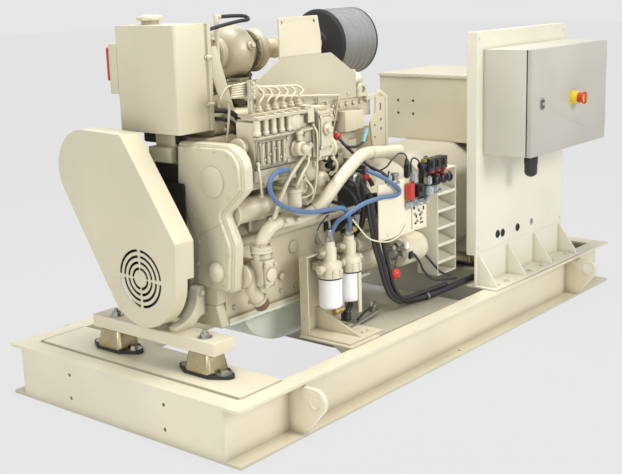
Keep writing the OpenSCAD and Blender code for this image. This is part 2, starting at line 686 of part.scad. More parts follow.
// Rear bracket with slots, its upright breather pipe, and the lifting eye above them
module rear_bracket() cream() {
    difference() {
        along_y(-205, -197) polygon(rounded([[-84, 868, 6], [6, 858, 8], [8, 1066, 14], [-52, 1072, 6],
            [-60, 1000, 20], [-96, 968, 8]]));
        for (z = [930, 970]) rod_y(-206, -196, -22, z, 7);
        for (z = [900, 950, 1010]) rod_y(-206, -196, -66, z, z < 1000 ? 5 : 0.1);
        block([-30, -206, 1010], [-18, -196, 1040]);
    }
    block([-110, -197, 1060], [0, head_y - 38, 1078]);
    rod_z(845, 1062, 30, -190, 12);
    rod([30, -190, 1058], [-20, -190, 1088], 12);
    difference() {
        along_y(-196, -182) polygon(rounded([[-160, 1078, 0], [-100, 1078, 0], [-104, 1132, 26],
            [-156, 1132, 26]]));
        rod_y(-198, -180, -130, 1106, 14);
    }
}

// ---- Injection pump ----
// Inline pump: cam box, barrels on its face, a stepped ledge, delivery valves and governor
module injection_pump() cream(0.93) {
    block([block_x0, pump_y - 50, pump_z], [pump_x1, pump_y + 50, pump_z + pump_h]);
    block([block_x0 + 30, pump_y - 62, pump_z + 96], [pump_x1, pump_y - 50, pump_z + 112]);
    along_x(block_x0 + 40, pump_x1 + 10) polygon(rounded([[pump_y - 62, ledge_z - 8, 4],
        [pump_y + 34, ledge_z - 8, 0], [pump_y + 34, ledge_z + 27, 6], [pump_y - 30, ledge_z + 27, 6],
        [pump_y - 30, ledge_z + 8, 0], [pump_y - 62, ledge_z + 8, 4]]));
    for (i = [0:outlets - 1]) let (x = outlet_x0 + i * outlet_pitch) {
        rod_z(pump_z + 112, ledge_z - 8, x, pump_y - 52, 13);
        bolt_z(x, pump_y - 52, pump_z + 112, 16, 14);
        bolt_z(x, pump_y, ledge_z + 27, 13, 14);
    }
    // Governor housing at the rear, with its lever and top plug
    along_x(pump_x1, pump_x1 + 110) polygon(rounded([[pump_y - 66, pump_z - 18, 30],
        [pump_y + 60, pump_z - 18, 30], [pump_y + 60, ledge_z + 6, 20], [pump_y - 66, ledge_z + 6, 40]]));
    rod_y(pump_y - 90, pump_y - 66, pump_x1 + 50, pump_z + 110, 22);
    rod([pump_x1 + 50, pump_y - 84, pump_z + 110], [pump_x1 + 20, pump_y - 84, pump_z + 40], 7);
    // Feed pump on the cam box, and the bracket to the block
    rod_y(pump_y - 88, pump_y - 50, -760, pump_z + 42, 26);
    bolt_y(-760, pump_y - 88, pump_z + 42, 17, 14);
    rod_z(pump_z - 30, pump_z + 30, -760, pump_y - 72, 12);
    block([block_x0 + 60, pump_y + 50, pump_z + 10], [pump_x1 - 60, wall_y - 45, pump_z + 60]);
    // Clamp bar of the injection pipes, on the pump's front end
    block([clamp_x, clamp_y - 26, pump_z + pump_h - 2], [clamp_x + 18, clamp_y, 1208]);
}
clamp_x = -958;
lane_y = -256;
clamp_y = lane_y - 4 - seat;
// Each pipe loops over its delivery valve, runs forward through the clamp and back to its injector
module injection_pipes() cream() for (i = [0:outlets - 1])
    let (
        x = outlet_x0 + i * outlet_pitch,
        z = ledge_z + 41 + seat,
        lane = 1152 - i * 12,
        nose = clamp_x - 20 - i * 3,
        port = injector_x0 + i * injector_pitch
    )
    sweep(spline([
        [x, pump_y, z], [x, pump_y, z + 6], [x, pump_y, z + 12], [x + 3, pump_y, z + 28],
        [x - 3, pump_y - 4, z + 46], [x - 22, pump_y - 2, z + 50],
        [max(x - 42, clamp_x + 30), -282, z + 38], [max(x - 58, clamp_x + 28), lane_y - 2, lane + 8],
        [max(x - 80, clamp_x + 20), lane_y, lane], [clamp_x, lane_y, lane], [nose, -246, lane],
        [nose - 3, -226, lane], [clamp_x + 10, -210, lane], [port - 40, -210, lane],
        [port - 12, -206, lane - 4], [port, -197, lane - 18], [port, -190, 1030], [port, -184, 990],
        [port, -172, 960], [port, head_y - 24, 952], [port, head_y - 12 - seat, 952]
    ], 3), 4, 6);

// ---- Raw water ----
inlet = [pipe_end.x, pipe_end.y];
module raw_water_pump() cream(0.95) {
    turned_x(sea_pump.x, sea_pump.y, [[0, block_x0], [80, block_x0], [80, block_x0 + 12], [66, block_x0 + 16],
        [60, block_x0 + 40], [66, block_x0 + 60], [66, block_x0 + 120], [58, block_x0 + 128],
        [0, block_x0 + 128]]);
    // Inlet branch with its flange, and the drain elbow
    block([inlet.x - 34, inlet.y - 30, 478], [inlet.x + 34, sea_pump.x, 560]);
    rod_z(548, pipe_end.z - seat, inlet.x, inlet.y, 38);
    for (a = [45:90:315]) bolt_z(inlet.x + 32 * cos(a), inlet.y + 32 * sin(a), 536, 6, 12);
    rod([-958, sea_pump.x, 470], drain_end, 22);
    // Outlet branch back to the block
    rod_y(sea_pump.x, skirt_y - seat, block_x0 + 95, 545, 16);
}
drain_end = [-903, sea_pump.x, 397];
drain_axis = unit([55, 0, -73]);
module drain_cap() color("sienna") rod(drain_end + seat * drain_axis, drain_end + 15 * drain_axis, 24);
pipe_route = [
    [-60, pipe_y, 871], [-140, pipe_y, 874], [-220, pipe_y, 877], [-278, pipe_y, 878],
    [-318, pipe_y, 873], [-366, pipe_y, 852], [-471, pipe_y, 791], [-564, pipe_y, 727],
    [-612, pipe_y, 698], [-655, pipe_y, 686], [-723, pipe_y, 684], [-800, pipe_y, 690],
    [-855, pipe_y, 688], [-895, -324, 668], [-918, -321, 636], [-925, -318, 606], [-925, -318, 590],
    pipe_end
];
module raw_water_pipe() cream() sweep(spline(pipe_route, 3), pipe_r, 16);

// ---- Starter and flywheel housing ----
module flywheel_housing() cream(0.93) {
    rod_x(block_x1, bell_x1, engine_y, crank_z, flywheel_r);
    block([block_x1, engine_y - 170, crank_z], [block_x1 + 60, engine_y + 170, crank_z + 300]);
}
// Starter with its domed end, solenoid above it, and the nose in the bell housing
module starter_motor() cream(0.95) {
    turned_x(starter.x, starter.y, [[0, starter_x], [46, starter_x], [starter.z - 4, -392], [starter.z, -384],
        [starter.z, -372], [starter.z - 4, -370], [starter.z - 4, -210], [starter.z, -206],
        [starter.z, -192], [starter.z - 12, -172], [38, -160], [38, block_x1], [0, block_x1]]);
    turned_x(starter.x - 40, starter.y + 78, [[0, -352], [26, -352], [29, -346], [29, -222], [26, -214],
        [0, -214]]);
    block([-330, starter.x - 44, starter.y + 40], [-240, starter.x - 8, starter.y + 62]);
}

// ---- Fuel filters ----
module filter_shelf() cream() {
    block([shelf[0], shelf[1], skid_h], [shelf[2], shelf[3], deck_z]);
    // Gusset under the shelf, welded to the side beam's web
    along_x((shelf[0] + shelf[2]) / 2 - 4, (shelf[0] + shelf[2]) / 2 + 4) polygon([
        [-rail_y, skid_h], [-rail_y, skid_h - 130], [shelf[3] - 30, skid_h]
    ]);
}
module filter_rack() cream() {
    difference() {
        union() {
            block([rack_x[0], rack_y, deck_z], [rack_x[1], rack_y + rack_t, deck_z + rack_h]);
            // Folded front edge
            block([rack_x[0], rack_y - 34, deck_z], [rack_x[0] + rack_t, rack_y, deck_z + rack_h]);
        }
        for (z = [deck_z + 66, deck_z + 136]) rod_x(rack_x[0] - 1, rack_x[0] + rack_t + 1, rack_y - 17, z, 5);
    }
    // Foot, folded head flange and one web between them
    difference() {
        block([rack_x[0], -rail_y + 14, deck_z], [rack_x[1] - 60, rack_y, deck_z + rack_t]);
        for (x = [-530, -500]) rod_z(deck_z - 1, deck_z + rack_t + 1, x, -rail_y + 55, 7);
    }
    block([rack_x[0], rack_y - 34, deck_z + rack_h - rack_t], [rack_x[1] - 200, rack_y, deck_z + rack_h]);
    along_x(web_x, web_x + rack_t) polygon([
        [rack_y, deck_z + rack_t], [rack_y, deck_z + 92], [rack_y - 12, deck_z + 92],
        [-rail_y + 30, deck_z + rack_t]
    ]);
}
web_x = rack_x[0] + 88;
module filter_heads() cream(0.98) for (i = [0, 1]) let (x = can_x0 + i * can_pitch) {
    translate([x, can_y, head_top]) rotate_extrude() polygon([
        [can_r - 8, 0], [can_r + 3, 0], [can_r + 3, 20], [can_r - 1, 24], [can_r - 1, 46],
        [can_r - 12, 54], [24, 56], [24, 78], [0, 78], [0, 12], [can_r - 8, 12]
    ]);
    // Arm back to the rack, and the ports each side
    block([x - 30, can_y + 5, head_top + 14], [x + 30, rack_y, head_top + 50]);
    rod_x(x - 58, x + 58, can_y, head_top + 34, 14);
}
module fuel_filters() color("white") for (i = [0, 1]) let (x = can_x0 + i * can_pitch)
    translate([x, can_y, can_z]) rotate_extrude() polygon(concat(
        [[0, 0], [can_r - 12, 0]],
        [for (a = [-90:15:0]) [can_r - 12 + 12 * cos(a), 12 + 12 * sin(a)]],
        [[can_r, can_h - 3], [can_r - 3, can_h - seat], [0, can_h - seat]]
    ));
// Water drain under the second can: a brass cock and its plug
drain_x = can_x0 + can_pitch;
module filter_drain() color("black") {
    rod_z(can_z - 24, can_z - seat, drain_x, can_y, 11);
    rod([drain_x, can_y, can_z - 22], [drain_x - 26, can_y, can_z - 52], 12);
    block([drain_x - 42, can_y - 15, can_z - 80], [drain_x - 14, can_y + 15, can_z - 48]);
}

// ---- Alternator ----
frame_edge = [
    [140, -frame_r, 60], [frame_r, -frame_r + 101, 60], [frame_r, frame_r - 101, 60], [140, frame_r, 60],
    [-140, frame_r, 60], [-frame_r, frame_r - 101, 60], [-frame_r, -frame_r + 101, 60], [-140, -frame_r, 60]
];
module alternator() cream(0.95) {
    along_x(frame_x0, frame_x1) translate([engine_y, crank_z]) polygon(rounded(frame_edge));
    turned_x(engine_y, crank_z, [[0, bell_x1], [236, bell_x1], [236, bell_x1 + 16], [waist_r, bell_x1 + 20],
        [waist_r, frame_x0 - 30], [235, frame_x0], [0, frame_x0]]);
    turned_x(engine_y, crank_z, [[0, frame_x1], [206, frame_x1], [200, frame_x1 + 50], [186, frame_x1 + 70],
        [0, frame_x1 + 70]]);
    // Cast feet on the rear mounts
    for (p = rear_mounts)
        block([p.x - 60, p.y - 60, rear_foot_z], [p.x + 60, p.y + 60, rear_foot_z + 120]);
}
terminal_z = crank_z + frame_r;
lid_t = 14;
module terminal_box() cream() difference() {
    union() {
        block([terminal_x, terminal_y, terminal_z],
            [terminal_x + terminal_l, terminal_y + terminal_w, terminal_z + terminal_h - lid_t]);
        // Lid with its folded edge standing out
        block([terminal_x - 5, terminal_y - 5, terminal_z + terminal_h - lid_t],
            [terminal_x + terminal_l + 5, terminal_y + terminal_w + 5, terminal_z + terminal_h]);
    }
    // Blind holes in the end wall
    for (y = [61, 148], z = [910, 972]) rod_x(terminal_x - 6, terminal_x + 20, y, z, 7);
}
// Air outlet: an open-fronted box with sloping vanes
vane_pitch = (louvre[5] - louvre[2] - 12) / 6;
module air_outlet() cream() {
    difference() {
        block([louvre[0], louvre[1], louvre[2]], [louvre[3], louvre[4], louvre[5]]);
        block([louvre[0] + 5, louvre[1] - 1, louvre[2] + 5], [louvre[3] - 5, louvre[4] - 10, louvre[5] - 5]);
    }
    for (i = [1:5]) let (z = louvre[2] + 6 + i * vane_pitch)
        along_x(louvre[0] + 5, louvre[3] - 5) polygon([
            [louvre[1], z - 30], [louvre[1] + 4, z - 30], [louvre[4] - 10, z + 4], [louvre[4] - 10, z + 8],
            [louvre[1] + 3, z - 26], [louvre[1] + 3, z - 16], [louvre[1], z - 16]
        ]);
    // Duct back to the alternator's end
    block([louvre[0] + 10, louvre[4], 480], [frame_x0 - 32, engine_y - waist_r - seat, 580]);
}
plate_t = 3;
module instrument_plate() color("ivory") {
    block([plate_x[0], plate_y, plate_z[0]], [plate_x[1], plate_y + plate_t, plate_z[1]]);
    // Folded edges, and the brackets back to the engine
    for (z = [plate_z[0], plate_z[1] - plate_t])
        block([plate_x[0], plate_y, z], [plate_x[1], plate_y + 5, z + plate_t]);
    block([plate_x[0], plate_y, plate_z[0]], [plate_x[0] + plate_t, plate_y + 5, plate_z[1]]);
    block([-250, plate_y + plate_t, 550], [-238, skirt_y, 590]);
    block([-90, plate_y + plate_t, 524], [-78, engine_y - 240.5, 560]);
}
// Relays and round plugs on a rail from the plate's top corner to the air outlet
relay_x = [for (i = [0:2]) 9 + i * 46];
module relays() color("black") {
    block([-30, plate_y - 6, 704], [157, plate_y, 748]);
    for (x = relay_x) {
        block([x - 20, plate_y - 44, 764], [x + 20, plate_y - 6, 816]);
        block([x - 17, plate_y - 28, 740], [x + 17, plate_y - 6, 764]);
        rod_y(plate_y - 46, plate_y - 6, x + 34, 721, 16.5);
    }
}
module oil_drain_pump() cream() {
    turned_x(drain_pump.x, drain_pump.y, [
        [0, -118], [30, -118], [30, -104], [drain_pump.z - 8, -100], [drain_pump.z, -90],
        [drain_pump.z, 40], [drain_pump.z - 5, 54], [drain_pump.z - 22, 64], [0, 66]
    ]);
    // Stub to the bell housing
    to_crank = [0, engine_y - drain_pump.x, crank_z - drain_pump.y];
    centre = [-55, drain_pump.x, drain_pump.y];
    rod(centre, centre + to_crank - (flywheel_r + seat) * unit(to_crank), 16);
}

// ---- Control panel ----
cable_holes = [[467, 412], [512, 409], [649, 408], [784, 410]];
module panel_plate() cream() difference() {
    block([panel_x, panel_y, foot_z], [panel_x + panel_l, panel_y + panel_fold, panel_top]);
    block([panel_x + sheet_t, panel_y + sheet_t, foot_z + sheet_t],
        [panel_x + panel_l - sheet_t, panel_y + panel_fold + 1, panel_top - sheet_t]);
    for (p = cable_holes) rod_y(panel_y - 1, panel_y + sheet_t + 1, p.x, p.y, 16);
}
gusset_t = 8;
module panel_foot() cream() {
    block([panel_x, -half_w + 12, skid_h], [panel_x + panel_l, panel_y + panel_fold, skid_h + gusset_t]);
    block([panel_x, panel_y, skid_h + gusset_t], [panel_x + panel_l, panel_y + 8, foot_z - gusset_t]);
    block([panel_x, panel_y, foot_z - gusset_t], [panel_x + panel_l, panel_y + panel_fold, foot_z]);
    for (i = [0:3]) let (x = panel_x + 17 + i * (panel_l - 17 - 26 - gusset_t) / 3)
        along_x(x, x + gusset_t) polygon([
            [panel_y, skid_h + gusset_t], [panel_y, foot_z - 10], [panel_y - 8, foot_z - 10],
            [-half_w + 22, skid_h + 24], [-half_w + 22, skid_h + gusset_t]
        ]);
}
module control_box() color("gainsboro") difference() {
    block([box_x, box_y, box_z], [box_x + box_l, panel_y, box_z + box_h]);
    block([box_x + 2, box_y - 1, box_z + 2], [box_x + box_l - 2, panel_y - 2, box_z + box_h - 2]);
}
hinge_x = box_x + box_l + 10;
hinge_y = box_y - swing - door_t / 2;
knuckle_z = [box_z + 60, box_z + box_h - 120];
knuckle_h = 30;
pin_r = 3;
module box_hinges() color("gray") for (z = knuckle_z) difference() {
    union() {
        rod_z(z, z + knuckle_h, hinge_x, hinge_y, hinge_r);
        block([hinge_x - 2, hinge_y, z], [hinge_x + 2, box_y + 24, z + knuckle_h]);
        block([box_x + box_l, box_y + 6, z], [hinge_x + 2, box_y + 24, z + knuckle_h]);
    }
    rod_z(z - 1, z + knuckle_h + 1, hinge_x, hinge_y, pin_r + 0.06);
}
door_front = box_y - swing - door_t;
module control_box_door() color("gainsboro") {
    difference() {
        block([box_x, door_front, box_z], [box_x + box_l, box_y - swing, box_z + box_h]);
        block([box_x + 2, door_front + 2, box_z + 2],
            [box_x + box_l - 2, box_y - swing + 1, box_z + box_h - 2]);
    }
    // Hinge pins standing in the box's knuckles
    for (z = knuckle_z) {
        rod_z(z, z + knuckle_h + 1, hinge_x, hinge_y, pin_r);
        rod_z(z + knuckle_h + 1, z + 2 * knuckle_h, hinge_x, hinge_y, hinge_r);
        block([box_x + box_l - 2, hinge_y - 2, z + knuckle_h + 1], [hinge_x, hinge_y + 2, z + 2 * knuckle_h]);
    }
    // Lock's escutcheon
    along_y(door_front - 6, door_front) polygon(rounded([[lock_x - 13, knob_z - 21, 5],
        [lock_x + 13, knob_z - 21, 5], [lock_x + 13, knob_z + 21, 5], [lock_x - 13, knob_z + 21, 5]]));
    rod_y(door_front - 10, door_front - 6, lock_x, knob_z, 8);
}
// Cable gland under the box
module cable_gland() color("black") translate([gland.x, gland.y, 0]) rotate_extrude() polygon(concat(
    [[0, box_z], [gland.z - 5, box_z], [gland.z - 5, box_z - 18], [gland.z, box_z - 20],
        [gland.z, box_z - 96]],
    [for (a = [0:15:90]) [gland.z * cos(a), box_z - 96 - gland.z * 0.8 * sin(a)]]
));
spindle_r = 6;
drum_d = 28;
neck_d = 22;
module switch_plate() color("gold") difference() {
    union() {
        block([knob_x - 30, door_front - 3, knob_z - 30], [knob_x + 30, door_front, knob_z + 30]);
        rod_y(door_front - drum_d, door_front - 3, knob_x, knob_z, knob_r);
    }
    rod_y(door_front - drum_d - 1, door_front - 0.5, knob_x, knob_z, spindle_r + 0.06);
}
// Spindle, neck, rim and the bar that is turned
module switch_knob() color("red") {
    rod_y(door_front - drum_d - 2, door_front - 2, knob_x, knob_z, spindle_r);
    rod_y(door_front - drum_d - neck_d, door_front - drum_d - 2, knob_x, knob_z, knob_r - 5);
    rod_y(door_front - drum_d - neck_d - 6, door_front - drum_d - neck_d, knob_x, knob_z, knob_r);
    block([knob_x - 6, door_front - drum_d - neck_d - 12, knob_z - knob_r + 5],
        [knob_x + 6, door_front - drum_d - neck_d - 6, knob_z + knob_r - 5]);
}

// ---- Hoses and cables, along routes chosen by hand ----
hose_a = [
    [-800, -351, 880], [-835, -368, 889], [-890, -380, 893], [-936, -384, 868], [-938, -386, 826],
    [-895, -386, 778], [-805, -384, 738], [-705, -384, 714], [-610, -382, 706], [-520, -382, 694],
    [-470, -372, 640], [-453, -353, 580], [-453, -353, 530], [-453, -353, hose_z]
];
hose_b = [
    [-576, -353, hose_z], [-576, -353, 530], [-572, -353, 580], [-545, -366, 640], [-500, -398, 675],
    [-418, -406, 698], [-305, -413, 704], [-223, -416, 698], [-193, -416, 708], [-215, -414, 735],
    [-296, -400, 785], [-350, -372, 815]
];
bundle_route = [
    [-336, -372, 720], [-322, -379, 600], [-306, -380, 506], [-278, -384, 429], [-252, -385, 348],
    [-211, -385, 278], [-147, -390, 238], [-73, -400, 225], [19, -420, 223.5], [139, -428, 224],
    [290, -428, 225.5], [400, -428, 225.5]
];
thin_route = [
    [-490, -402, 648], [-446, -402, 604], [-390, -402, 554], [-324, -406, 527], [-242, -404, 512],
    [-167, -404, 527], [-132, -404, 560]
];
module overflow_hose() color("dimgray") sweep(spline(overflow, 3), 7, 8);
module fuel_hoses() color("steelblue") {
    sweep(spline(hose_a, 3), 9, 10);
    sweep(spline(hose_b, 3), 9, 10);
}
module cable_bundle() color("black") sweep(spline(bundle_route, 3), 14, 10);
module sensor_cable() color("beige") sweep(spline(thin_route, 3), 3, 8);

side_beams();
end_members();
deck_members();
deck_plates();
lifting_lugs();
mount_bases();
mount_covers();
front_support_beam();
support_arms();
engine_block();
oil_pan();
cylinder_head();
rocker_cover();
gear_housing();
gear_cover();
belt_guard();
guard_brackets();
belt_pulleys();
accessory_drive();
header_tank();
tank_cap();
tank_brackets();
alarm_box();
alarm_plate();
exhaust_manifold();
turbocharger();
air_filter();
heat_shield();
intake_manifold();
rear_bracket();
injection_pump();
injection_pipes();
raw_water_pump();
drain_cap();
raw_water_pipe();
flywheel_housing();
starter_motor();
filter_shelf();
filter_rack();
filter_heads();
fuel_filters();
filter_drain();
alternator();
terminal_box();
air_outlet();
instrument_plate();
relays();
oil_drain_pump();
panel_plate();
panel_foot();
control_box();
cable_gland();
box_hinges();
control_box_door();
switch_plate();
switch_knob();
fuel_hoses();
cable_bundle();
sensor_cable();
overflow_hose();
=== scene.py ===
# %% [markdown]
# # A marine generator set, finished in Blender
# The engineering model arrives as a fixed frame of plain solids. These cells give it its
# looks: sprayed cream paint over castings and sheet metal, bolts, hoses and wiring.
# We start by loading the frame.

# %% Load the frame
import json
import math

import bmesh
import bpy
from mathutils import Matrix, Quaternion, Vector

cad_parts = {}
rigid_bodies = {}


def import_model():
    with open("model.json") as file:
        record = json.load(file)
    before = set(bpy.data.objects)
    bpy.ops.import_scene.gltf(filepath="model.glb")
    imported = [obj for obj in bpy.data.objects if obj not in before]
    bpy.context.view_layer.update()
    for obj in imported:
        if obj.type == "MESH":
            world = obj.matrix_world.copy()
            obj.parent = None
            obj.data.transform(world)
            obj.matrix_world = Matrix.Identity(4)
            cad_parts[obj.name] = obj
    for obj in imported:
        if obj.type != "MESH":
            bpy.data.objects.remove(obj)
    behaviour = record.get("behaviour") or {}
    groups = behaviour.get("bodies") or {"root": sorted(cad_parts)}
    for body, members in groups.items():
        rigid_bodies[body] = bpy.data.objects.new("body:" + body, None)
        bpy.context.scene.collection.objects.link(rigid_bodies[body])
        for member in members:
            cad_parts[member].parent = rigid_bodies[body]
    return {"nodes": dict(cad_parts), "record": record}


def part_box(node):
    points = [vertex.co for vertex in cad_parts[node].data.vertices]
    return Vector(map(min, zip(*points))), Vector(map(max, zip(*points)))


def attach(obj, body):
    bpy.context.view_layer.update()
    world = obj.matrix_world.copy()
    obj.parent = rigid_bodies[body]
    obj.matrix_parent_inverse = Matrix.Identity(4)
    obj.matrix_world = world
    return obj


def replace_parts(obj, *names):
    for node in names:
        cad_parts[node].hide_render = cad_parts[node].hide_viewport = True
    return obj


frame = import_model()
NODES = frame["nodes"]
BODY_OF = {node: body for body, nodes in frame["record"]["behaviour"]["bodies"].items() for node in nodes}
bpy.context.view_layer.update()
MM = 0.001
print("loaded", len(NODES), "nodes")

# %% [markdown]
# ## Camera
# A long lens from the engine's front corner, a little above the control cabinet. The view
# direction is built from a heading and a dip, and the horizon leans by a small roll.

# %% Camera
CAMERA_PLACE = Vector((-3.759, -2.909, 1.548))
HEADING, DIP, ROLL = math.radians(39.74), math.radians(13.19), math.radians(-1.76)
LENS, SENSOR_WIDTH, FAR_CLIP = 63.24, 36.0, 60.0


def look(heading, dip):
    """Unit vector along a heading from +X toward +Y, dipped below level."""
    return Vector((math.cos(dip) * math.cos(heading), math.cos(dip) * math.sin(heading), -math.sin(dip)))


def make_camera():
    """The scene's camera, turned along the heading and rolled about its own axis."""
    data = bpy.data.cameras.new("camera")
    data.lens = LENS
    data.sensor_width = SENSOR_WIDTH
    data.clip_end = FAR_CLIP
    camera = bpy.data.objects.new("camera", data)
    turn = look(HEADING, DIP).to_track_quat("-Z", "Y") @ Quaternion((0, 0, 1), ROLL)
    camera.matrix_world = Matrix.Translation(CAMERA_PLACE) @ turn.to_matrix().to_4x4()
    bpy.context.scene.collection.objects.link(camera)
    bpy.context.scene.camera = camera
    return camera


camera = make_camera()
print("camera right", [round(v, 4) for v in camera.matrix_world.col[0][:3]])

# %% [markdown]
# ## Node helpers
# The world, the floor and every finish are small graphs of shader nodes. Building them by
# hand takes four lines a node, so a few helpers add a node, feed its sockets and give back
# its result. They are kept short enough to read the graphs below like sums.

# %% Node helpers
# A Mix node has sockets for numbers, vectors and colours; these are the colours' places.
FACTOR, COLOUR_A, COLOUR_B, COLOUR_OUT = 0, 6, 7, 2


def add(tree, kind, inputs=None, **settings):
    """Adds a shader node, sets its properties, and feeds its named or numbered inputs."""
    node = tree.nodes.new("ShaderNode" + kind)
    for key, value in settings.items():
        setattr(node, key, value)
    for key, source in (inputs or {}).items():
        if isinstance(source, bpy.types.NodeSocket):
            tree.links.new(source, node.inputs[key])
        else:
            node.inputs[key].default_value = source
    return node


def calc(tree, operation, *values):
    """The result of a Math node whose values are numbers or sockets."""
    return add(tree, "Math", dict(enumerate(values)), operation=operation).outputs[0]


def blend_colour(tree, factor, a, b, mode="MIX"):
    """The colour of a Mix node, from its three sockets for colours."""
    inputs = {FACTOR: factor, COLOUR_A: a, COLOUR_B: b}
    return add(tree, "Mix", inputs, data_type="RGBA", blend_type=mode).outputs[COLOUR_OUT]


def spread(tree, value, low, high, to_low=0.0, to_high=1.0):
    """A value stretched from one range to another."""
    return add(tree, "MapRange", dict(enumerate((value, low, high, to_low, to_high)))).outputs[0]


print("node helpers ready")

# %% [markdown]
# ## World
# The world looks pale to the camera, to mirrors and to glass, but lights the set only
# gently. Light Path tells the two uses apart, so a white surround costs no contrast.

# %% World
PALE = (0.79, 0.79, 0.79, 1)
SKY_TINT, SKY_STRENGTH = (0.94, 0.97, 1.0, 1), 0.42


def seen_directly(tree):
    """One where the camera, a mirror or glass looks, else nothing."""
    path = add(tree, "LightPath")
    value = path.outputs["Is Camera Ray"]
    for name in ("Is Glossy Ray", "Is Transmission Ray"):
        value = calc(tree, "MAXIMUM", value, path.outputs[name])
    return value


def make_world():
    """A world that is pale to look at and dim as a light."""
    world = bpy.data.worlds.new("studio")
    world.use_nodes = True
    tree = world.node_tree
    tree.nodes.clear()
    light = add(tree, "Background", {"Color": SKY_TINT, "Strength": SKY_STRENGTH})
    seen = add(tree, "Background", {"Color": PALE})
    mix = add(tree, "MixShader", {0: seen_directly(tree), 1: light.outputs[0], 2: seen.outputs[0]})
    add(tree, "OutputWorld", {"Surface": mix.outputs[0]})
    bpy.context.scene.world = world


make_world()
print("world strength", SKY_STRENGTH)

# %% [markdown]
# ## Floor
# A wide plane just under the skid. Seen directly it glows as pale as the world, nearly
# hiding the horizon, and a small share of plain paint keeps the set's shadow on it.

# %% Floor
FLOOR_SIZE, FLOOR_HEIGHT = 60, -0.001
FLOOR_PAINT, FLOOR_GLOW = (0.80, 0.80, 0.80, 1), 0.95


def make_floor():
    """A pale plane that glows where it is seen directly and takes a faint shadow."""
    bpy.ops.mesh.primitive_plane_add(size=FLOOR_SIZE, location=(0, 0, FLOOR_HEIGHT))
    floor = bpy.context.object
    floor.name = "studio_floor"
    material = bpy.data.materials.new("studio_floor")
    material.use_nodes = True
    tree = material.node_tree
    bsdf = tree.nodes["Principled BSDF"]
    bsdf.inputs["Base Color"].default_value = FLOOR_PAINT
    bsdf.inputs["Roughness"].default_value = 0.9
    bsdf.inputs["Specular IOR Level"].default_value = 0.1
    glow = add(tree, "Emission", {"Color": PALE})
    share = calc(tree, "MULTIPLY", seen_directly(tree), FLOOR_GLOW)
    mix = add(tree, "MixShader", {0: share, 1: bsdf.outputs[0], 2: glow.outputs[0]})
    tree.links.new(mix.outputs[0], tree.nodes["Material Output"].inputs["Surface"])
    floor.data.materials.append(material)


make_floor()
print("floor made")

# %% [markdown]
# ## Lamps
# Big soft discs, as a studio has them, give shadows without hard edges. The strongest hangs
# over the set, the key stands on the service side, and two weaker ones lift the front and
# the shade low down.

# %% Lamps
LAMPS = {
    "key": ((0.4, -5.0, 3.0), (0, 0, 0.6), 2.2, 121),
    "fill": ((-5.6, -0.4, 2.2), (0, 0, 0.6), 2.6, 57),
    "top": ((-0.6, -0.4, 4.8), (0, 0, 0.6), 2.6, 178),
    "low": ((-4.2, -4.0, 0.9), (-0.3, -0.2, 0.5), 2.4, 26),
}


def soft_lamp(name, place, aim, size, watts):
    """A round area lamp that looks from its place at a point."""
    data = bpy.data.lights.new(name, "AREA")
    data.shape = "DISK"
    data.size = size
    data.energy = watts
    lamp = bpy.data.objects.new(name, data)
    lamp.location = place
    lamp.rotation_euler = (Vector(aim) - Vector(place)).to_track_quat("-Z", "Y").to_euler()
    bpy.context.scene.collection.objects.link(lamp)


for name, values in LAMPS.items():
    soft_lamp(name, *values)
bpy.context.scene.view_settings.view_transform = "Standard"
print("lamps:", len(bpy.data.lights))

# %% [markdown]
# ## The sprayed film
# Nearly every part of a marine set is sprayed in one go with thick cream paint: a fine
# orange peel, slow drifts of tone, and grime that gathers where surfaces meet, laid there
# together with painted shade. Many finishes share it, so it is a shader group with named
# inputs. It gives out a colour, a roughness and a normal, and each material keeps its own
# shader.

# %% Sprayed film
DRIFT_SCALE, DRIFT_TONES = 3.5, (0.94, 1.03)
OPEN_ABOVE, SHUT_BELOW = 0.95, 0.35
HAZE, GRIME_ROUGHNESS = 0.16, 0.25
SURFACE = [("Colour", "Color"), ("Roughness", "Float"), ("Normal", "Vector")]


def new_group(name, inputs, outputs):
    """Empty shader group; inputs are (name, kind, default) rows and outputs (name, kind)."""
    tree = bpy.data.node_groups.new(name, "ShaderNodeTree")
    for label, kind, default in inputs:
        socket = tree.interface.new_socket(label, in_out="INPUT", socket_type="NodeSocket" + kind)
        socket.default_value = default
    for label, kind in outputs:
        tree.interface.new_socket(label, in_out="OUTPUT", socket_type="NodeSocket" + kind)
    return tree, tree.nodes.new("NodeGroupInput").outputs, tree.nodes.new("NodeGroupOutput").inputs


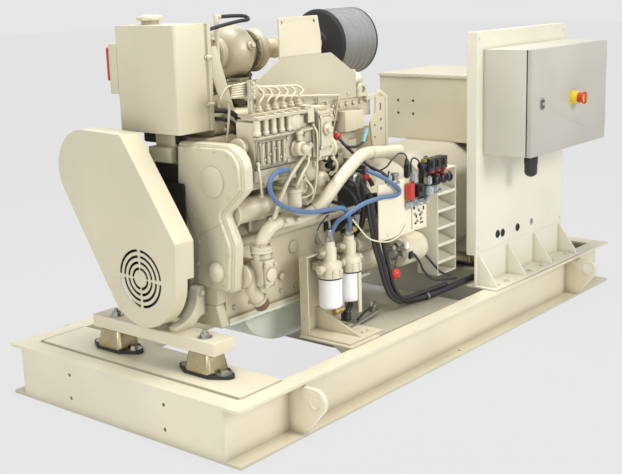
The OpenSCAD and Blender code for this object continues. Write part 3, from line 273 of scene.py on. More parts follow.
def make_film_group():
    """Sprayed paint: drifting tone, grime and painted shade in the gaps, orange peel and a soft edge."""
    tree, given, out = new_group(
        "sprayed_film",
        [("Colour", "Color", (0.8, 0.8, 0.8, 1)), ("Dirt And Shade Colour", "Color", (0.2, 0.17, 0.1, 1)),
         ("Dirt And Shade", "Float", 0.5), ("Gap", "Float", 0.03), ("Peel", "Float", 0.1),
         ("Grain Size", "Float", 400.0), ("Edge", "Float", 0.0015), ("Gloss", "Float", 0.35)], SURFACE)
    place = add(tree, "TexCoord").outputs["Object"]
    slow = add(tree, "TexNoise", {"Vector": place, "Scale": DRIFT_SCALE, "Detail": 3.0}).outputs[0]
    fine = add(tree, "TexNoise", {"Vector": place, "Scale": given["Grain Size"], "Detail": 2.0})
    crease = add(tree, "AmbientOcclusion", {"Distance": given["Gap"]}, samples=6)
    drift = spread(tree, slow, 0.3, 0.7, *DRIFT_TONES)
    toned = blend_colour(tree, 1.0, given["Colour"], drift, "MULTIPLY")
    # Ambient occlusion finds the gaps; the colour laid there is grime and painted shade together.
    depth = spread(tree, crease.outputs["AO"], SHUT_BELOW, OPEN_ABOVE, 1.0, 0.0)
    amount = calc(tree, "MULTIPLY", depth, given["Dirt And Shade"])
    tree.links.new(blend_colour(tree, amount, toned, given["Dirt And Shade Colour"]), out["Colour"])
    haze = calc(tree, "MULTIPLY_ADD", slow, HAZE, given["Gloss"])
    tree.links.new(calc(tree, "MULTIPLY_ADD", amount, GRIME_ROUGHNESS, haze), out["Roughness"])
    edge = add(tree, "Bevel", {"Radius": given["Edge"]}, samples=4).outputs[0]
    bump = add(tree, "Bump", {"Strength": given["Peel"], "Distance": 0.001,
                              "Height": fine.outputs[0], "Normal": edge})
    tree.links.new(bump.outputs[0], out["Normal"])
    return tree


FILM = make_film_group()
print("film group:", len(FILM.nodes), "nodes")

# %% [markdown]
# ## Plated metal
# Zinc plating and brass cloud over in patches of a second tint. One slow noise makes the
# clouds and one fine noise breaks up the gloss, so the metal doesn't look like a mirror.

# %% Plated metal
CLOUD_SCALE, FINE_SCALE = 22.0, 260.0


def make_plating_group():
    """Plated metal with clouds of a second tint."""
    tree, given, out = new_group(
        "plated_metal",
        [("Colour", "Color", (0.7, 0.7, 0.7, 1)), ("Tint", "Color", (0.7, 0.5, 0.6, 1)),
         ("Tint Amount", "Float", 0.2), ("Roughness", "Float", 0.3)], SURFACE)
    place = add(tree, "TexCoord").outputs["Object"]
    cloud = add(tree, "TexNoise", {"Vector": place, "Scale": CLOUD_SCALE, "Detail": 4.0, "Distortion": 1.2})
    fine = add(tree, "TexNoise", {"Vector": place, "Scale": FINE_SCALE, "Detail": 3.0}).outputs[0]
    amount = calc(tree, "MULTIPLY", spread(tree, cloud.outputs[0], 0.4, 0.65), given["Tint Amount"])
    tree.links.new(blend_colour(tree, amount, given["Colour"], given["Tint"]), out["Colour"])
    tree.links.new(calc(tree, "MULTIPLY_ADD", fine, 0.22, given["Roughness"]), out["Roughness"])
    bump = add(tree, "Bump", {"Strength": 0.12, "Distance": 0.0006, "Height": fine})
    tree.links.new(bump.outputs[0], out["Normal"])
    return tree


PLATING = make_plating_group()
print("plating:", len(PLATING.nodes), "nodes")

# %% [markdown]
# ## Braid
# The fuel hoses wear a textile braid. Two sets of threads wind round the tube against each
# other, and the higher one shows, so the pattern is the larger of two sine waves. It runs on
# the tube's UV map, in metres along and turns round, and so follows every bend.

# %% Braid
FULL_TURN = 2 * math.pi


def make_braid_group():
    """Two sets of threads that cross on a tube's UV map."""
    tree, given, out = new_group(
        "braid",
        [("Colour", "Color", (0.2, 0.35, 0.6, 1)), ("Dark", "Color", (0.08, 0.15, 0.3, 1)),
         ("Threads", "Float", 12.0), ("Pitch", "Float", 260.0), ("Depth", "Float", 0.4)],
        [("Colour", "Color"), ("Normal", "Vector")])
    parts = add(tree, "SeparateXYZ", {0: add(tree, "UVMap").outputs[0]}).outputs
    waves = []
    for sign in (1.0, -1.0):
        along = calc(tree, "MULTIPLY", parts[0], given["Pitch"])
        turned = calc(tree, "MULTIPLY", parts[1], given["Threads"])
        leaned = calc(tree, "MULTIPLY_ADD", turned, sign, along)
        waves.append(calc(tree, "SINE", calc(tree, "MULTIPLY", leaned, FULL_TURN)))
    raised = spread(tree, calc(tree, "MAXIMUM", *waves), -0.6, 1.0)
    # Where neither thread stands high the colour falls to the dark one: painted shade between the threads.
    tree.links.new(blend_colour(tree, raised, given["Dark"], given["Colour"]), out["Colour"])
    bump = add(tree, "Bump", {"Strength": given["Depth"], "Distance": 0.001, "Height": raised})
    tree.links.new(bump.outputs[0], out["Normal"])
    return tree


BRAID = make_braid_group()
print("braid:", len(BRAID.nodes), "nodes")

# %% [markdown]
# ## Perforated sheet
# The air filter is wrapped in sheet full of small holes, too many to cut. Two crossed sine
# waves, one along the filter and one round it, mark the holes, which are dark and not metal.
# Past the sheet's two ends the same group turns the surface into the black end caps.

# %% Perforated sheet
END_CAP, SHEET_METAL = (0.014, 0.014, 0.015, 1), 0.6


def make_perforated_group():
    """Sheet with holes round the X axis through a point (Y, Z), black past its two ends."""
    tree, given, out = new_group(
        "perforated",
        [("Colour", "Color", (0.3, 0.3, 0.3, 1)), ("Hole", "Color", (0.03, 0.03, 0.03, 1)),
         ("Start", "Float", 0.0), ("End", "Float", 1.0), ("Y", "Float", 0.0), ("Z", "Float", 0.0),
         ("Radius", "Float", 0.14), ("Pitch", "Float", 0.004)],
        [("Colour", "Color"), ("Metallic", "Float"), ("Normal", "Vector")])
    place = add(tree, "SeparateXYZ", {0: add(tree, "TexCoord").outputs["Object"]}).outputs
    y = calc(tree, "SUBTRACT", place[1], given["Y"])
    z = calc(tree, "SUBTRACT", place[2], given["Z"])
    arc = calc(tree, "MULTIPLY", calc(tree, "ARCTAN2", z, y), given["Radius"])
    waves = []
    for source in (place[0], arc):
        cycle = calc(tree, "DIVIDE", source, given["Pitch"])
        waves.append(calc(tree, "SINE", calc(tree, "MULTIPLY", cycle, FULL_TURN)))
    hole = spread(tree, calc(tree, "MULTIPLY", *waves), -0.1, 0.25)
    inner = calc(tree, "GREATER_THAN", place[0], given["Start"])
    outer = calc(tree, "LESS_THAN", place[0], given["End"])
    skin = calc(tree, "MULTIPLY", inner, outer)
    dotted = blend_colour(tree, hole, given["Colour"], given["Hole"])
    tree.links.new(blend_colour(tree, skin, END_CAP, dotted), out["Colour"])
    steel = calc(tree, "SUBTRACT", 1.0, hole)
    shine = calc(tree, "MULTIPLY", calc(tree, "MULTIPLY", steel, skin), SHEET_METAL)
    tree.links.new(shine, out["Metallic"])
    bump = add(tree, "Bump", {"Strength": 0.3, "Distance": 0.001, "Height": steel})
    tree.links.new(bump.outputs[0], out["Normal"])
    return tree


PERFORATION = make_perforated_group()
print("perforated sheet:", len(PERFORATION.nodes), "nodes")

# %% [markdown]
# ## Makers of materials
# Every material is a Principled shader fed by one of the groups. Constants such as coat and
# metallic are set on the shader's own sockets, where an exporter can read them. One maker
# serves all the sprayed and moulded parts and one the plated ones.

# %% Makers of materials
def rgb(r, g, b):
    """A colour with full alpha, as the sockets want it."""
    return (r, g, b, 1.0)


def group_material(name, group, values, wires, **shader):
    """Material whose shader takes the group's outputs named in wires; shader sets its constants."""
    material = bpy.data.materials.new(name)
    material.use_nodes = True
    tree = material.node_tree
    bsdf = tree.nodes["Principled BSDF"]
    node = tree.nodes.new("ShaderNodeGroup")
    node.node_tree = group
    for key, value in values.items():
        node.inputs[key].default_value = value
    for source, target in wires.items():
        tree.links.new(node.outputs[source], bsdf.inputs[target])
    for key, value in shader.items():
        bsdf.inputs[key.replace("_", " ")].default_value = value
    return material


WIRES = {"Colour": "Base Color", "Roughness": "Roughness", "Normal": "Normal"}


# The grime amount and colour set what gathers in the gaps: grime and painted shade.
def film(name, colour, shade_and_grime=0.55, gap=0.03, peel=0.10, grain=420.0, edge=0.0015, gloss=0.30, coat=0.25,
         shade_and_dirt_colour=(0.16, 0.13, 0.07)):
    """Paint, plastic or rubber over the sprayed film group."""
    return group_material(
        name, FILM,
        {"Colour": rgb(*colour), "Dirt And Shade Colour": rgb(*shade_and_dirt_colour), "Dirt And Shade": shade_and_grime, "Gap": gap, "Peel": peel,
         "Grain Size": grain, "Edge": edge, "Gloss": gloss},
        WIRES, Coat_Weight=coat, Coat_Roughness=0.25)


def plated(name, colour, tint, amount, rough):
    """Metal over the plating group."""
    values = {"Colour": rgb(*colour), "Tint": rgb(*tint), "Tint Amount": amount, "Roughness": rough}
    return group_material(name, PLATING, values, WIRES, Metallic=1.0)


print("makers ready")

# %% [markdown]
# ## Paints
# All the cream is one paint. Rough castings hold grime and scatter light and thin sheet
# stays clean, so each kind of part has its own tone, grime and grain. The heat shield, the
# alternator, the turbocharger and exhaust castings and the deck are darker as painted shade,
# and the panel plate, its foot, the air outlet and the oil pan lighter as painted light.

# %% Paints
SHEET = film("cream_sheet", (0.70, 0.64, 0.46), shade_and_grime=0.35, gap=0.02, peel=0.05, edge=0.0025)
# Darker than the sheet's cream: painted shade on the heat shield.
SHADED_SHIELD = film("shaded_shield_cream", (0.615, 0.56, 0.405), shade_and_grime=0.3, gap=0.02, peel=0.05, edge=0.0025)
# Darker than the casting cream: painted shade on the alternator, which sits in shadow.
SHADED_ALTERNATOR = film("shaded_alternator_paint", (0.60, 0.55, 0.43), shade_and_grime=0.6, gap=0.04, peel=0.3, grain=160.0, edge=0.003)
# Darker than the casting cream: painted shade on the turbocharger and the exhaust casting.
SHADED_CAST = film("shaded_casting", (0.60, 0.54, 0.385), shade_and_grime=0.95, gap=0.06, peel=0.45, grain=160.0,
                edge=0.004, gloss=0.24)
CAST = film("cream_casting", (0.75, 0.68, 0.495), shade_and_grime=0.75, gap=0.05, peel=0.45, grain=160.0, edge=0.004)
# Lighter than the sheet's cream: painted light on the panel plate, its foot and the air outlet.
LIT_PLATE = film("lit_plate_cream", (0.80, 0.76, 0.62), shade_and_grime=0.3, gap=0.02, peel=0.05, edge=0.0025)
STEEL = film("cream_steelwork", (0.78, 0.715, 0.535), shade_and_grime=0.45, gap=0.04, peel=0.22, grain=90.0,
             edge=0.002)
# Lighter than the cream: painted light that lifts the oil pan out of the engine's shade.
LIT_SUMP = film("sump_paint", (0.86, 0.91, 0.77), shade_and_grime=0.4, peel=0.3, grain=160.0, edge=0.006)
# A dark olive: painted shade and painted reflection on the deck under the engine.
DECK = film("deck_paint", (0.50, 0.47, 0.35), shade_and_grime=0.7, gap=0.12, peel=0.15, grain=90.0,
            gloss=0.12, coat=0.5, shade_and_dirt_colour=(0.09, 0.09, 0.06))
CABINET = film("cabinet_paint", (0.56, 0.54, 0.45), shade_and_grime=0.3, gap=0.015, peel=0.16, grain=700.0,
               edge=0.002, gloss=0.42, coat=0.0)
DOOR = film("door_paint", (0.49, 0.47, 0.405), shade_and_grime=0.3, gap=0.015, peel=0.16, grain=700.0, edge=0.002)
WHITE = film("white_enamel", (0.95, 0.95, 0.95), shade_and_grime=0.15, gap=0.01, peel=0.03, edge=0.0008, gloss=0.2)
PANEL_WHITE = film("plate_paint", (0.90, 0.82, 0.62), shade_and_grime=0.3, gap=0.015, peel=0.05, edge=0.0008)
RED = film("red_paint", (0.55, 0.035, 0.02), shade_and_grime=0.4, gap=0.01, peel=0.05, edge=0.001)
print("materials so far:", len(bpy.data.materials))

# %% [markdown]
# ## Plastics, rubber and bare metal
# Wires, buttons and hoses are moulded in colour, so they take little grime and painted shade.
# The mount covers are zinc plated with a yellow chromate, and unions and nuts are plain zinc or brass.

# %% Plastics, rubber and bare metal
OCHRE = film("ochre_plastic", (0.30, 0.24, 0.03), shade_and_grime=0.2, gap=0.006, peel=0.03)
YELLOW = film("yellow_plastic", (0.85, 0.60, 0.03), shade_and_grime=0.2, gap=0.006, peel=0.03, edge=0.001)
BLACK = film("black_plastic", (0.018, 0.018, 0.02), shade_and_grime=0.2, gap=0.01, peel=0.1, edge=0.001, gloss=0.35,
             shade_and_dirt_colour=(0.01, 0.01, 0.01))
RUBBER = film("black_rubber", (0.022, 0.022, 0.024), shade_and_grime=0.25, gap=0.02, peel=0.4, grain=300.0,
              edge=0.002, gloss=0.55, coat=0.0, shade_and_dirt_colour=(0.06, 0.055, 0.045))
# One flat black: painted shade for the sheets in the gaps, and the print of the junction marks.
SHADE_AND_PRINT_BLACK = film("shade_and_print_black", (0.02, 0.02, 0.018), shade_and_grime=0.2, peel=0.1, gloss=0.7, coat=0.0)
GOLD = plated("zinc_chromate", (0.46, 0.41, 0.25), (0.34, 0.28, 0.16), 0.45, 0.2)
BRIGHT = plated("bright_zinc", (0.78, 0.78, 0.77), (0.66, 0.62, 0.52), 0.3, 0.22)
BRASS = plated("brass", (0.72, 0.52, 0.22), (0.50, 0.35, 0.15), 0.4, 0.25)
TAN = film("tan_rubber", (0.62, 0.52, 0.34), shade_and_grime=0.5, gap=0.01, peel=0.2, gloss=0.4)
# Its gap colour is a blue grey: painted light that stands for what clear plastic shows.
CLEAR = film("clear_plastic", (0.42, 0.46, 0.45), shade_and_grime=0.5, gap=0.012, peel=0.02, gloss=0.06,
             shade_and_dirt_colour=(0.2, 0.26, 0.3))
BLUE = film("blue_plastic", (0.22, 0.45, 0.55), shade_and_grime=0.2, gap=0.01, peel=0.03, gloss=0.2)
GREY_STEEL = plated("grey_steel", (0.42, 0.42, 0.40), (0.30, 0.27, 0.22), 0.5, 0.25)
BROWN = film("brown_plastic", (0.20, 0.12, 0.075), shade_and_grime=0.4, gap=0.01, peel=0.1, gloss=0.45)
print("materials so far:", len(bpy.data.materials))

# %% [markdown]
# ## Braided hose and filter sheet
# These two take their pattern from a group of their own. The sheet's pattern is centred on
# the filter and ends at its two caps, so its place is read from the frame's box for that
# node.

# %% Braided hose and filter sheet
FRONT_CAP, REAR_CAP = 0.026, 0.014
HOSE = group_material("blue_hose", BRAID,
                      {"Colour": rgb(0.14, 0.24, 0.42), "Dark": rgb(0.06, 0.10, 0.19)},
                      {"Colour": "Base Color", "Normal": "Normal"}, Roughness=0.62)
filter_low, filter_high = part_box("air_filter")
PERFORATED = group_material(
    "perforated_sheet", PERFORATION,
    {"Colour": rgb(0.52, 0.51, 0.50), "Hole": rgb(0.09, 0.09, 0.09), "Start": filter_low[0] + FRONT_CAP,
     "End": filter_high[0] - REAR_CAP, "Y": (filter_low[1] + filter_high[1]) / 2,
     "Z": (filter_low[2] + filter_high[2]) / 2},
    {"Colour": "Base Color", "Metallic": "Metallic", "Normal": "Normal"}, Roughness=0.42)
print("materials:", len(bpy.data.materials))

# %% [markdown]
# ## Finishes for the frame's own nodes
# Most of the frame is right as it stands and only needs its finish. A table from node to
# material keeps this readable; whatever isn't in it is a casting.

# %% Dress the nodes
FINISHES = {
    LIT_PLATE: ["air_outlet", "panel_plate", "panel_foot"],
    SHEET: ["belt_guard", "header_tank", "tank_brackets", "terminal_box",
            "filter_shelf", "filter_rack", "guard_brackets", "rear_bracket", "tank_cap", "alarm_box"],
    STEEL: ["side_beams", "end_members", "lifting_lugs",
            "front_support_beam", "support_arms"],
    LIT_SUMP: ["oil_pan"],
    SHADED_ALTERNATOR: ["alternator"],
    SHADED_SHIELD: ["heat_shield"],
    DECK: ["deck_plates", "deck_members"],
    CABINET: ["control_box"],
    DOOR: ["control_box_door"],
    WHITE: ["fuel_filters"],
    PANEL_WHITE: ["instrument_plate", "sensor_cable"],
    RED: ["alarm_plate", "switch_knob"],
    YELLOW: ["switch_plate"],
    BLACK: ["relays", "filter_drain", "belt_pulleys", "cable_gland"],
    RUBBER: ["mount_bases", "cable_bundle", "overflow_hose"],
    PERFORATED: ["air_filter"],
    GOLD: ["mount_covers"],
    BRIGHT: ["box_hinges"],
    BROWN: ["drain_cap"],
    HOSE: ["fuel_hoses"],
}
dressed = {name: material for material, names in FINISHES.items() for name in names}
for name, node in NODES.items():
    node.data.materials.clear()
    node.data.materials.append(dressed.get(name, CAST))
print("dressed", len(NODES), "nodes")

# %% [markdown]
# ## Tools for the small pieces
# Bolt heads, tubes and boxes are added to a bmesh one after another, and each finished mesh
# becomes one piece that rides on a body. Edges sharper than a set angle stay crisp. A piece
# is drawn in millimetres, as a maker would, and leaves these tools in metres.

# %% Finishing a piece
FRONT, SERVICE, UP, DOWN, REAR = (-1, 0, 0), (0, -1, 0), (0, 0, 1), (0, 0, -1), (1, 0, 0)


def mm(*values):
    """A vector in metres from values in millimetres."""
    return Vector([v * MM for v in values])


def finish_piece(name, bm, material, body="root", sharp=38.0):
    """Turns a bmesh into a piece on a body, smooth but for edges over an angle in degrees."""
    bmesh.ops.recalc_face_normals(bm, faces=bm.faces)
    for edge in bm.edges:
        edge.smooth = edge.calc_face_angle(0) < math.radians(sharp)
    for face in bm.faces:
        face.smooth = True
    mesh = bpy.data.meshes.new(name)
    bm.to_mesh(mesh)
    bm.free()
    mesh.materials.append(material)
    made = bpy.data.objects.new(name, mesh)
    bpy.context.scene.collection.objects.link(made)
    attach(made, body)
    return made


# %% [markdown]
# ## Turned shapes, bolts and screws
# Most fittings on an engine come off a lathe, so one tool spins an outline of radius and
# height about an axis. With six sides the same tool makes a hexagon. A boss is the common
# case: its outline is closed flat at both ends.

# %% Turned shapes
BOLT_WASHER = 1.35
BEDDED = -0.4


def facing(at, axis):
    """Matrix that stands a shape made along +Z at a point in millimetres, along an axis."""
    turn = Vector(axis).to_track_quat("Z", "Y").to_matrix().to_4x4()
    return Matrix.Translation(mm(*at)) @ turn


def add_turned(bm, at, axis, outline, sides=24):
    """Adds a turned shape from (radius, height) pairs, closed where the radius is zero."""
    place = facing(at, axis)
    turns = [2 * math.pi * k / sides for k in range(sides)]
    rings = []
    for radius, height in outline:
        spots = [mm(radius * math.cos(a), radius * math.sin(a), height) for a in turns]
        rings.append([bm.verts.new(place @ spot) for spot in (spots if radius else spots[:1])])
    for low, high in zip(rings, rings[1:]):
        for k in range(sides):
            n = (k + 1) % sides
            if len(low) > 1 and len(high) > 1:
                bm.faces.new((low[k], low[n], high[n], high[k]))
            elif len(high) > 1:
                bm.faces.new((low[0], high[k], high[n]))
            elif len(low) > 1:
                bm.faces.new((low[k], low[n], high[0]))


def add_boss(bm, at, axis, outline, sides=24):
    """Adds a turned shape whose outline is closed flat at its first and last height."""
    first, last = (0, outline[0][1]), (0, outline[-1][1])
    add_turned(bm, at, axis, [first, *outline, last], sides)


def add_bolt(bm, at, axis, radius, height, washer=BOLT_WASHER):
    """Hexagon head with a chamfered top, on a thin washer."""
    add_boss(bm, at, axis, [(radius * washer, BEDDED), (radius * washer, radius * 0.16)], 20)
    add_boss(bm, at, axis, [(radius, 0), (radius, height * 0.8), (radius * 0.84, height)], 6)


def add_screw(bm, at, axis, radius):
    """Low domed screw head."""
    add_turned(bm, at, axis, [(0, BEDDED), (radius, BEDDED), (radius * 0.96, radius * 0.25),
                              (radius * 0.6, radius * 0.5), (0, radius * 0.58)], 12)


def ring(count, radius, first=0):
    """Equal places round a circle, as (across, up) pairs, from a first angle in degrees."""
    angles = [math.radians(first + 360 * k / count) for k in range(count)]
    return [(radius * math.cos(a), radius * math.sin(a)) for a in angles]


def dome(radius, rise, foot=0):
    """Outline pairs over a dome, from just above its foot to near its top."""
    return [(radius * math.cos(a / 10), foot + rise * math.sin(a / 10)) for a in range(2, 16, 2)]


print("a ring of four:", [tuple(round(v, 3) for v in spot) for spot in ring(4, 1)])

# %% [markdown]
# ## Boxes
# A cast lump or a folded box is a cube whose edges are rounded by a bevel, because a real
# edge always has some radius and catches the light along it.

# %% Boxes
def add_box(bm, low, high, round_by=0.0, place=None):
    """Adds a box between two corners in millimetres, its edges rounded."""
    part = bmesh.new()
    bmesh.ops.create_cube(part, size=1.0)
    low, high = mm(*low), mm(*high)
    for vert in part.verts:
        vert.co = Vector([(low[i] + high[i]) / 2 + vert.co[i] * (high[i] - low[i]) for i in range(3)])
    if round_by:
        bmesh.ops.bevel(part, geom=part.edges[:], offset=round_by * MM, segments=2, affect="EDGES")
    if place:
        bmesh.ops.transform(part, matrix=place, verts=part.verts)
    scratch = bpy.data.meshes.new("scratch")
    part.to_mesh(scratch)
    part.free()
    bm.from_mesh(scratch)
    bpy.data.meshes.remove(scratch)


print("box tool ready")

# %% [markdown]
# ## Tubes
# A hose, pipe or wire is a circle swept along a smooth curve through a few points. The ring
# is carried from one point to the next without twisting, and the UV map counts metres along
# and turns round, which the braid needs.

# %% Tubes
def smooth_line(points, steps):
    """Points on a smooth curve through the given ones, steps to a span."""
    given = [Vector(p) for p in points]
    line = []
    for i in range(len(given) - 1):
        a, b = given[max(i - 1, 0)], given[i]
        c, d = given[i + 1], given[min(i + 2, len(given) - 1)]
        for k in range(steps):
            t = k / steps
            line.append(0.5 * (2 * b + (c - a) * t + (2 * a - 5 * b + 4 * c - d) * t ** 2
                               + (3 * b - a - 3 * c + d) * t ** 3))
    return line + [given[-1]]


def add_tube(bm, line, radius, sides, ripple=0.0):
    """Round tube along a line in millimetres; every second ring is wider by the ripple."""
    line = [Vector(p) for p in line]
    uv = bm.loops.layers.uv.verify()
    last = len(line) - 1
    headings = [(line[min(i + 1, last)] - line[max(i - 1, 0)]).normalized() for i in range(len(line))]
    across = headings[0].orthogonal().normalized()
    rings, run, along = [], 0.0, []
    for i, point in enumerate(line):
        across = (across - headings[i] * across.dot(headings[i])).normalized()
        other = headings[i].cross(across)
        wide = radius + (ripple if i % 2 else 0.0)
        rings.append([bm.verts.new((point + wide * (math.cos(a) * across + math.sin(a) * other)) * MM)
                      for a in (2 * math.pi * k / sides for k in range(sides))])
        run += (point - line[i - 1]).length * MM if i else 0.0
        along.append(run)
    for i in range(len(rings) - 1):
        for k in range(sides):
            n = (k + 1) % sides
            face = bm.faces.new((rings[i][k], rings[i][n], rings[i + 1][n], rings[i + 1][k]))
            corners = ((along[i], k), (along[i], k + 1), (along[i + 1], k + 1), (along[i + 1], k))
            for loop, (u, v) in zip(face.loops, corners):
                loop[uv].uv = (u, v / sides)
    for end in (rings[0][::-1], rings[-1]):
        bm.faces.new(end)


def add_tubes(bm, routes, steps, sides):
    """Smooth tubes from (points, radius) pairs."""
    for points, radius in routes:
        add_tube(bm, smooth_line(points, steps), radius, sides)


def length_of(line):
    """Length in metres of a line in millimetres."""
    return sum((b - a).length for a, b in zip(line, line[1:])) * MM


print("tube tools ready")

# %% [markdown]
# ## Hoses and cables
# On the real set these are cut to length and clipped to the engine: braided fuel hose, a
# harness in black sleeving, a thin sensor lead and the tank's overflow hose. Each is a tube
# along the frame's own route, so it lies where the engineering model's solid lies. Their
# lengths are measured along the curve and printed.

# %% Hoses and cables
FEED = [(-800, -351, 880), (-835, -368, 889), (-890, -380, 893), (-936, -384, 868),
        (-938, -386, 826), (-895, -386, 778), (-805, -384, 738), (-705, -384, 714),
        (-610, -382, 706), (-520, -382, 694), (-470, -372, 640), (-453, -353, 580),
        (-453, -353, 530), (-453, -353, 511.5)]
RETURN = [(-576, -353, 511.5), (-576, -353, 530), (-572, -353, 580), (-545, -366, 640), (-500, -398, 675),
          (-418, -406, 698), (-305, -413, 704), (-223, -416, 698), (-193, -416, 708), (-215, -414, 735),
          (-296, -400, 785), (-350, -372, 815)]
HARNESS = [(-336, -372, 720), (-322, -379, 600), (-306, -380, 506), (-278, -384, 429),
           (-252, -385, 348), (-211, -385, 278), (-147, -390, 238), (-73, -400, 225),
           (19, -420, 223.5), (139, -428, 224), (290, -428, 225.5), (400, -428, 225.5)]
SENSOR = [(-490, -402, 648), (-446, -402, 604), (-390, -402, 554), (-324, -406, 527), (-242, -404, 512),
          (-167, -404, 527), (-132, -404, 560)]
OVERFLOW = [(-915, -60, 1384), (-908, -60, 1384), (-900, -60, 1384), (-872, -60, 1388), (-798, -60, 1399),
            (-715, -58, 1409), (-662, -52, 1412), (-645, -42, 1417), (-660, -36, 1426), (-715, -36, 1429),
            (-765, -36, 1429), (-790, -36, 1429)]


def make_cord(name, route, radius, material, node, sides=16, ripple=0.0):
    """Tube along a route, in place of the frame's plain one."""
    line = smooth_line(route, 6)
    bm = bmesh.new()
    add_tube(bm, line, radius, sides, ripple)
    made = finish_piece(name, bm, material, sharp=60.0)
    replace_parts(made, node)
    print(name, round(length_of(line), 3), "m")


make_cord("fuel_feed_hose", FEED, 9.0, HOSE, "fuel_hoses")
make_cord("fuel_return_hose", RETURN, 9.0, HOSE, "fuel_hoses")
make_cord("engine_harness", HARNESS, 13.6, RUBBER, "cable_bundle", ripple=0.4)
make_cord("sensor_lead", SENSOR, 3.0, PANEL_WHITE, "sensor_cable", sides=10)
make_cord("tank_overflow_hose", OVERFLOW, 7.0, RUBBER, "overflow_hose")

# %% [markdown]
# ## Rounded edges
# Sheet metal is folded and castings are fettled, so no real edge here is sharp. The nodes
# that show most get a copy with bevelled edges, which stands in for them. The table gives
# each one's rounding in millimetres. A bevel modifier is enough, as the copies only need
# their long edges rounded.

# %% Rounded copies
ROUNDING = {
    "belt_guard": 1.3, "header_tank": 2.5, "support_arms": 6.0, "front_support_beam": 2.2,
    "control_box_door": 0.9, "control_box": 0.9, "lifting_lugs": 1.5, "oil_pan": 4.0,
    "mount_covers": 1.5, "rocker_cover": 3.0, "cylinder_head": 3.0, "intake_manifold": 2.5,
    "alarm_box": 3.0, "side_beams": 1.6, "deck_plates": 1.2, "instrument_plate": 0.8,
    "relays": 1.2, "panel_foot": 1.2, "alternator": 4.0, "tank_brackets": 1.5,
}
ROUNDED_FROM, SAME_POINT, SAME_PLANE = math.radians(40.0), 0.00002, math.radians(1.0)


def rounded_copy(node, bevel):
    """A copy of a node with its long edges rounded, which stands in for the node."""
    bm = bmesh.new()
    bm.from_mesh(NODES[node].data)
    bmesh.ops.remove_doubles(bm, verts=bm.verts, dist=SAME_POINT)
    bmesh.ops.dissolve_limit(bm, angle_limit=SAME_PLANE, verts=bm.verts, edges=bm.edges)
    made = finish_piece(node + "_rounded", bm, NODES[node].data.materials[0], BODY_OF[node], 180.0)
    rounding = made.modifiers.new("rounding", "BEVEL")
    rounding.width = bevel * MM
    rounding.segments = 3
    rounding.limit_method = "ANGLE"
    rounding.angle_limit = ROUNDED_FROM
    rounding.harden_normals = True
    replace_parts(made, node)


for node, bevel in ROUNDING.items():
    rounded_copy(node, bevel)
print("rounded", len(ROUNDING), "nodes")

# %% [markdown]
# ## Engine front
# The coolant tank's two shells are bolted through a seam. At the front the engine stands on
# two rubber mounts, each with a nut and a threaded stud over its washer and a bolt on either
# side, and the rear mounts are bolted down in the same way. Heads are plain hexagons, so a
# turned shape with six sides does for them.

# %% Engine front fasteners
bm = bmesh.new()
for z in (1127, 1295):
    add_bolt(bm, (-968, -127, z), FRONT, 7.0, 7)
    add_bolt(bm, (-944, -127, z), REAR, 7.0, 7)
for y in (-156, 34):
    add_bolt(bm, (-1078, y, 458), SERVICE, 11.0, 8)
finish_piece("front_bolts", bm, CAST)

bm = bmesh.new()
for y in (-270, 200):
    stud = (-1185, y, 338)
    add_boss(bm, stud, UP, [(26, 0), (26, 3)], 28)
    add_boss(bm, stud, UP, [(17, 3), (17, 15), (14, 18)], 6)
    add_boss(bm, stud, UP, [(8.5, 18), (8.5, 27), (7, 28.5)], 16)
    for side in (-103, 103):
        add_bolt(bm, (-1185, y + side * 0.84, 221), UP, 15.0, 13, 2.0)
for y in (-225, 155):
    for side in (-103, 103):
        add_bolt(bm, (620, y + side * 0.86, 221), UP, 14.0, 11, 1.5)
finish_piece("mount_nuts", bm, GREY_STEEL)
print("front fasteners made")

# %% [markdown]
# ## Block, head and manifold fasteners
# Rows of equal bolts follow a flange, so each row is a range along the engine, and only the
# odd ones are listed. They were painted with the engine and share its casting paint.

# %% Engine side fasteners
PORTS = [-930 + 126 * i for i in range(6)]
bm = bmesh.new()
for x in range(-455, -70, 46):
    add_bolt(bm, (x, -178, 1056), SERVICE, 8.0, 8)
for x in range(-975, -410, 62):
    add_bolt(bm, (x, -208, 318), DOWN, 6.5, 7)
for x in range(-960, -140, 88):
    add_bolt(bm, (x, -200, 380), SERVICE, 7.5, 7)
for port in PORTS:
    for x in (port - 24, port + 24):
        add_bolt(bm, (x, -140, 952), SERVICE, 6.0, 6)
for x in range(-900, -150, 75):
    add_bolt(bm, (x, -140, 1030), SERVICE, 6.5, 6)
for x, z in [(-356, 1074), (-467, 1038)]:
    add_bolt(bm, (x, -178, z), SERVICE, 7.0, 7)
for x, z in [(-398, 1041), (-300, 1030)]:
    add_boss(bm, (x, -178, z), SERVICE, [(13, -2), (13, 6), (9, 8), (7, 3)], 20)
for x, z in [(-636, 905), (-556, 905), (-636, 1075), (-556, 1075), (-596, 898)]:
    add_screw(bm, (x, -366, z), SERVICE, 6.5)
for x in (-660, -580, -500, -300, -220):
    add_bolt(bm, (x, -181, 1100), SERVICE, 7.0, 7)
finish_piece("side_bolts", bm, CAST)
print("side fasteners made for", len(PORTS), "cylinders")

# %% [markdown]
# ## Filters' fittings
# Each hose ends in a crimped ferrule over a hexagon union, screwed into the top of the
# filter head. The white cans carry a rolled bead near each end. All of these are round, so
# both are outlines turned about the can's own axis.

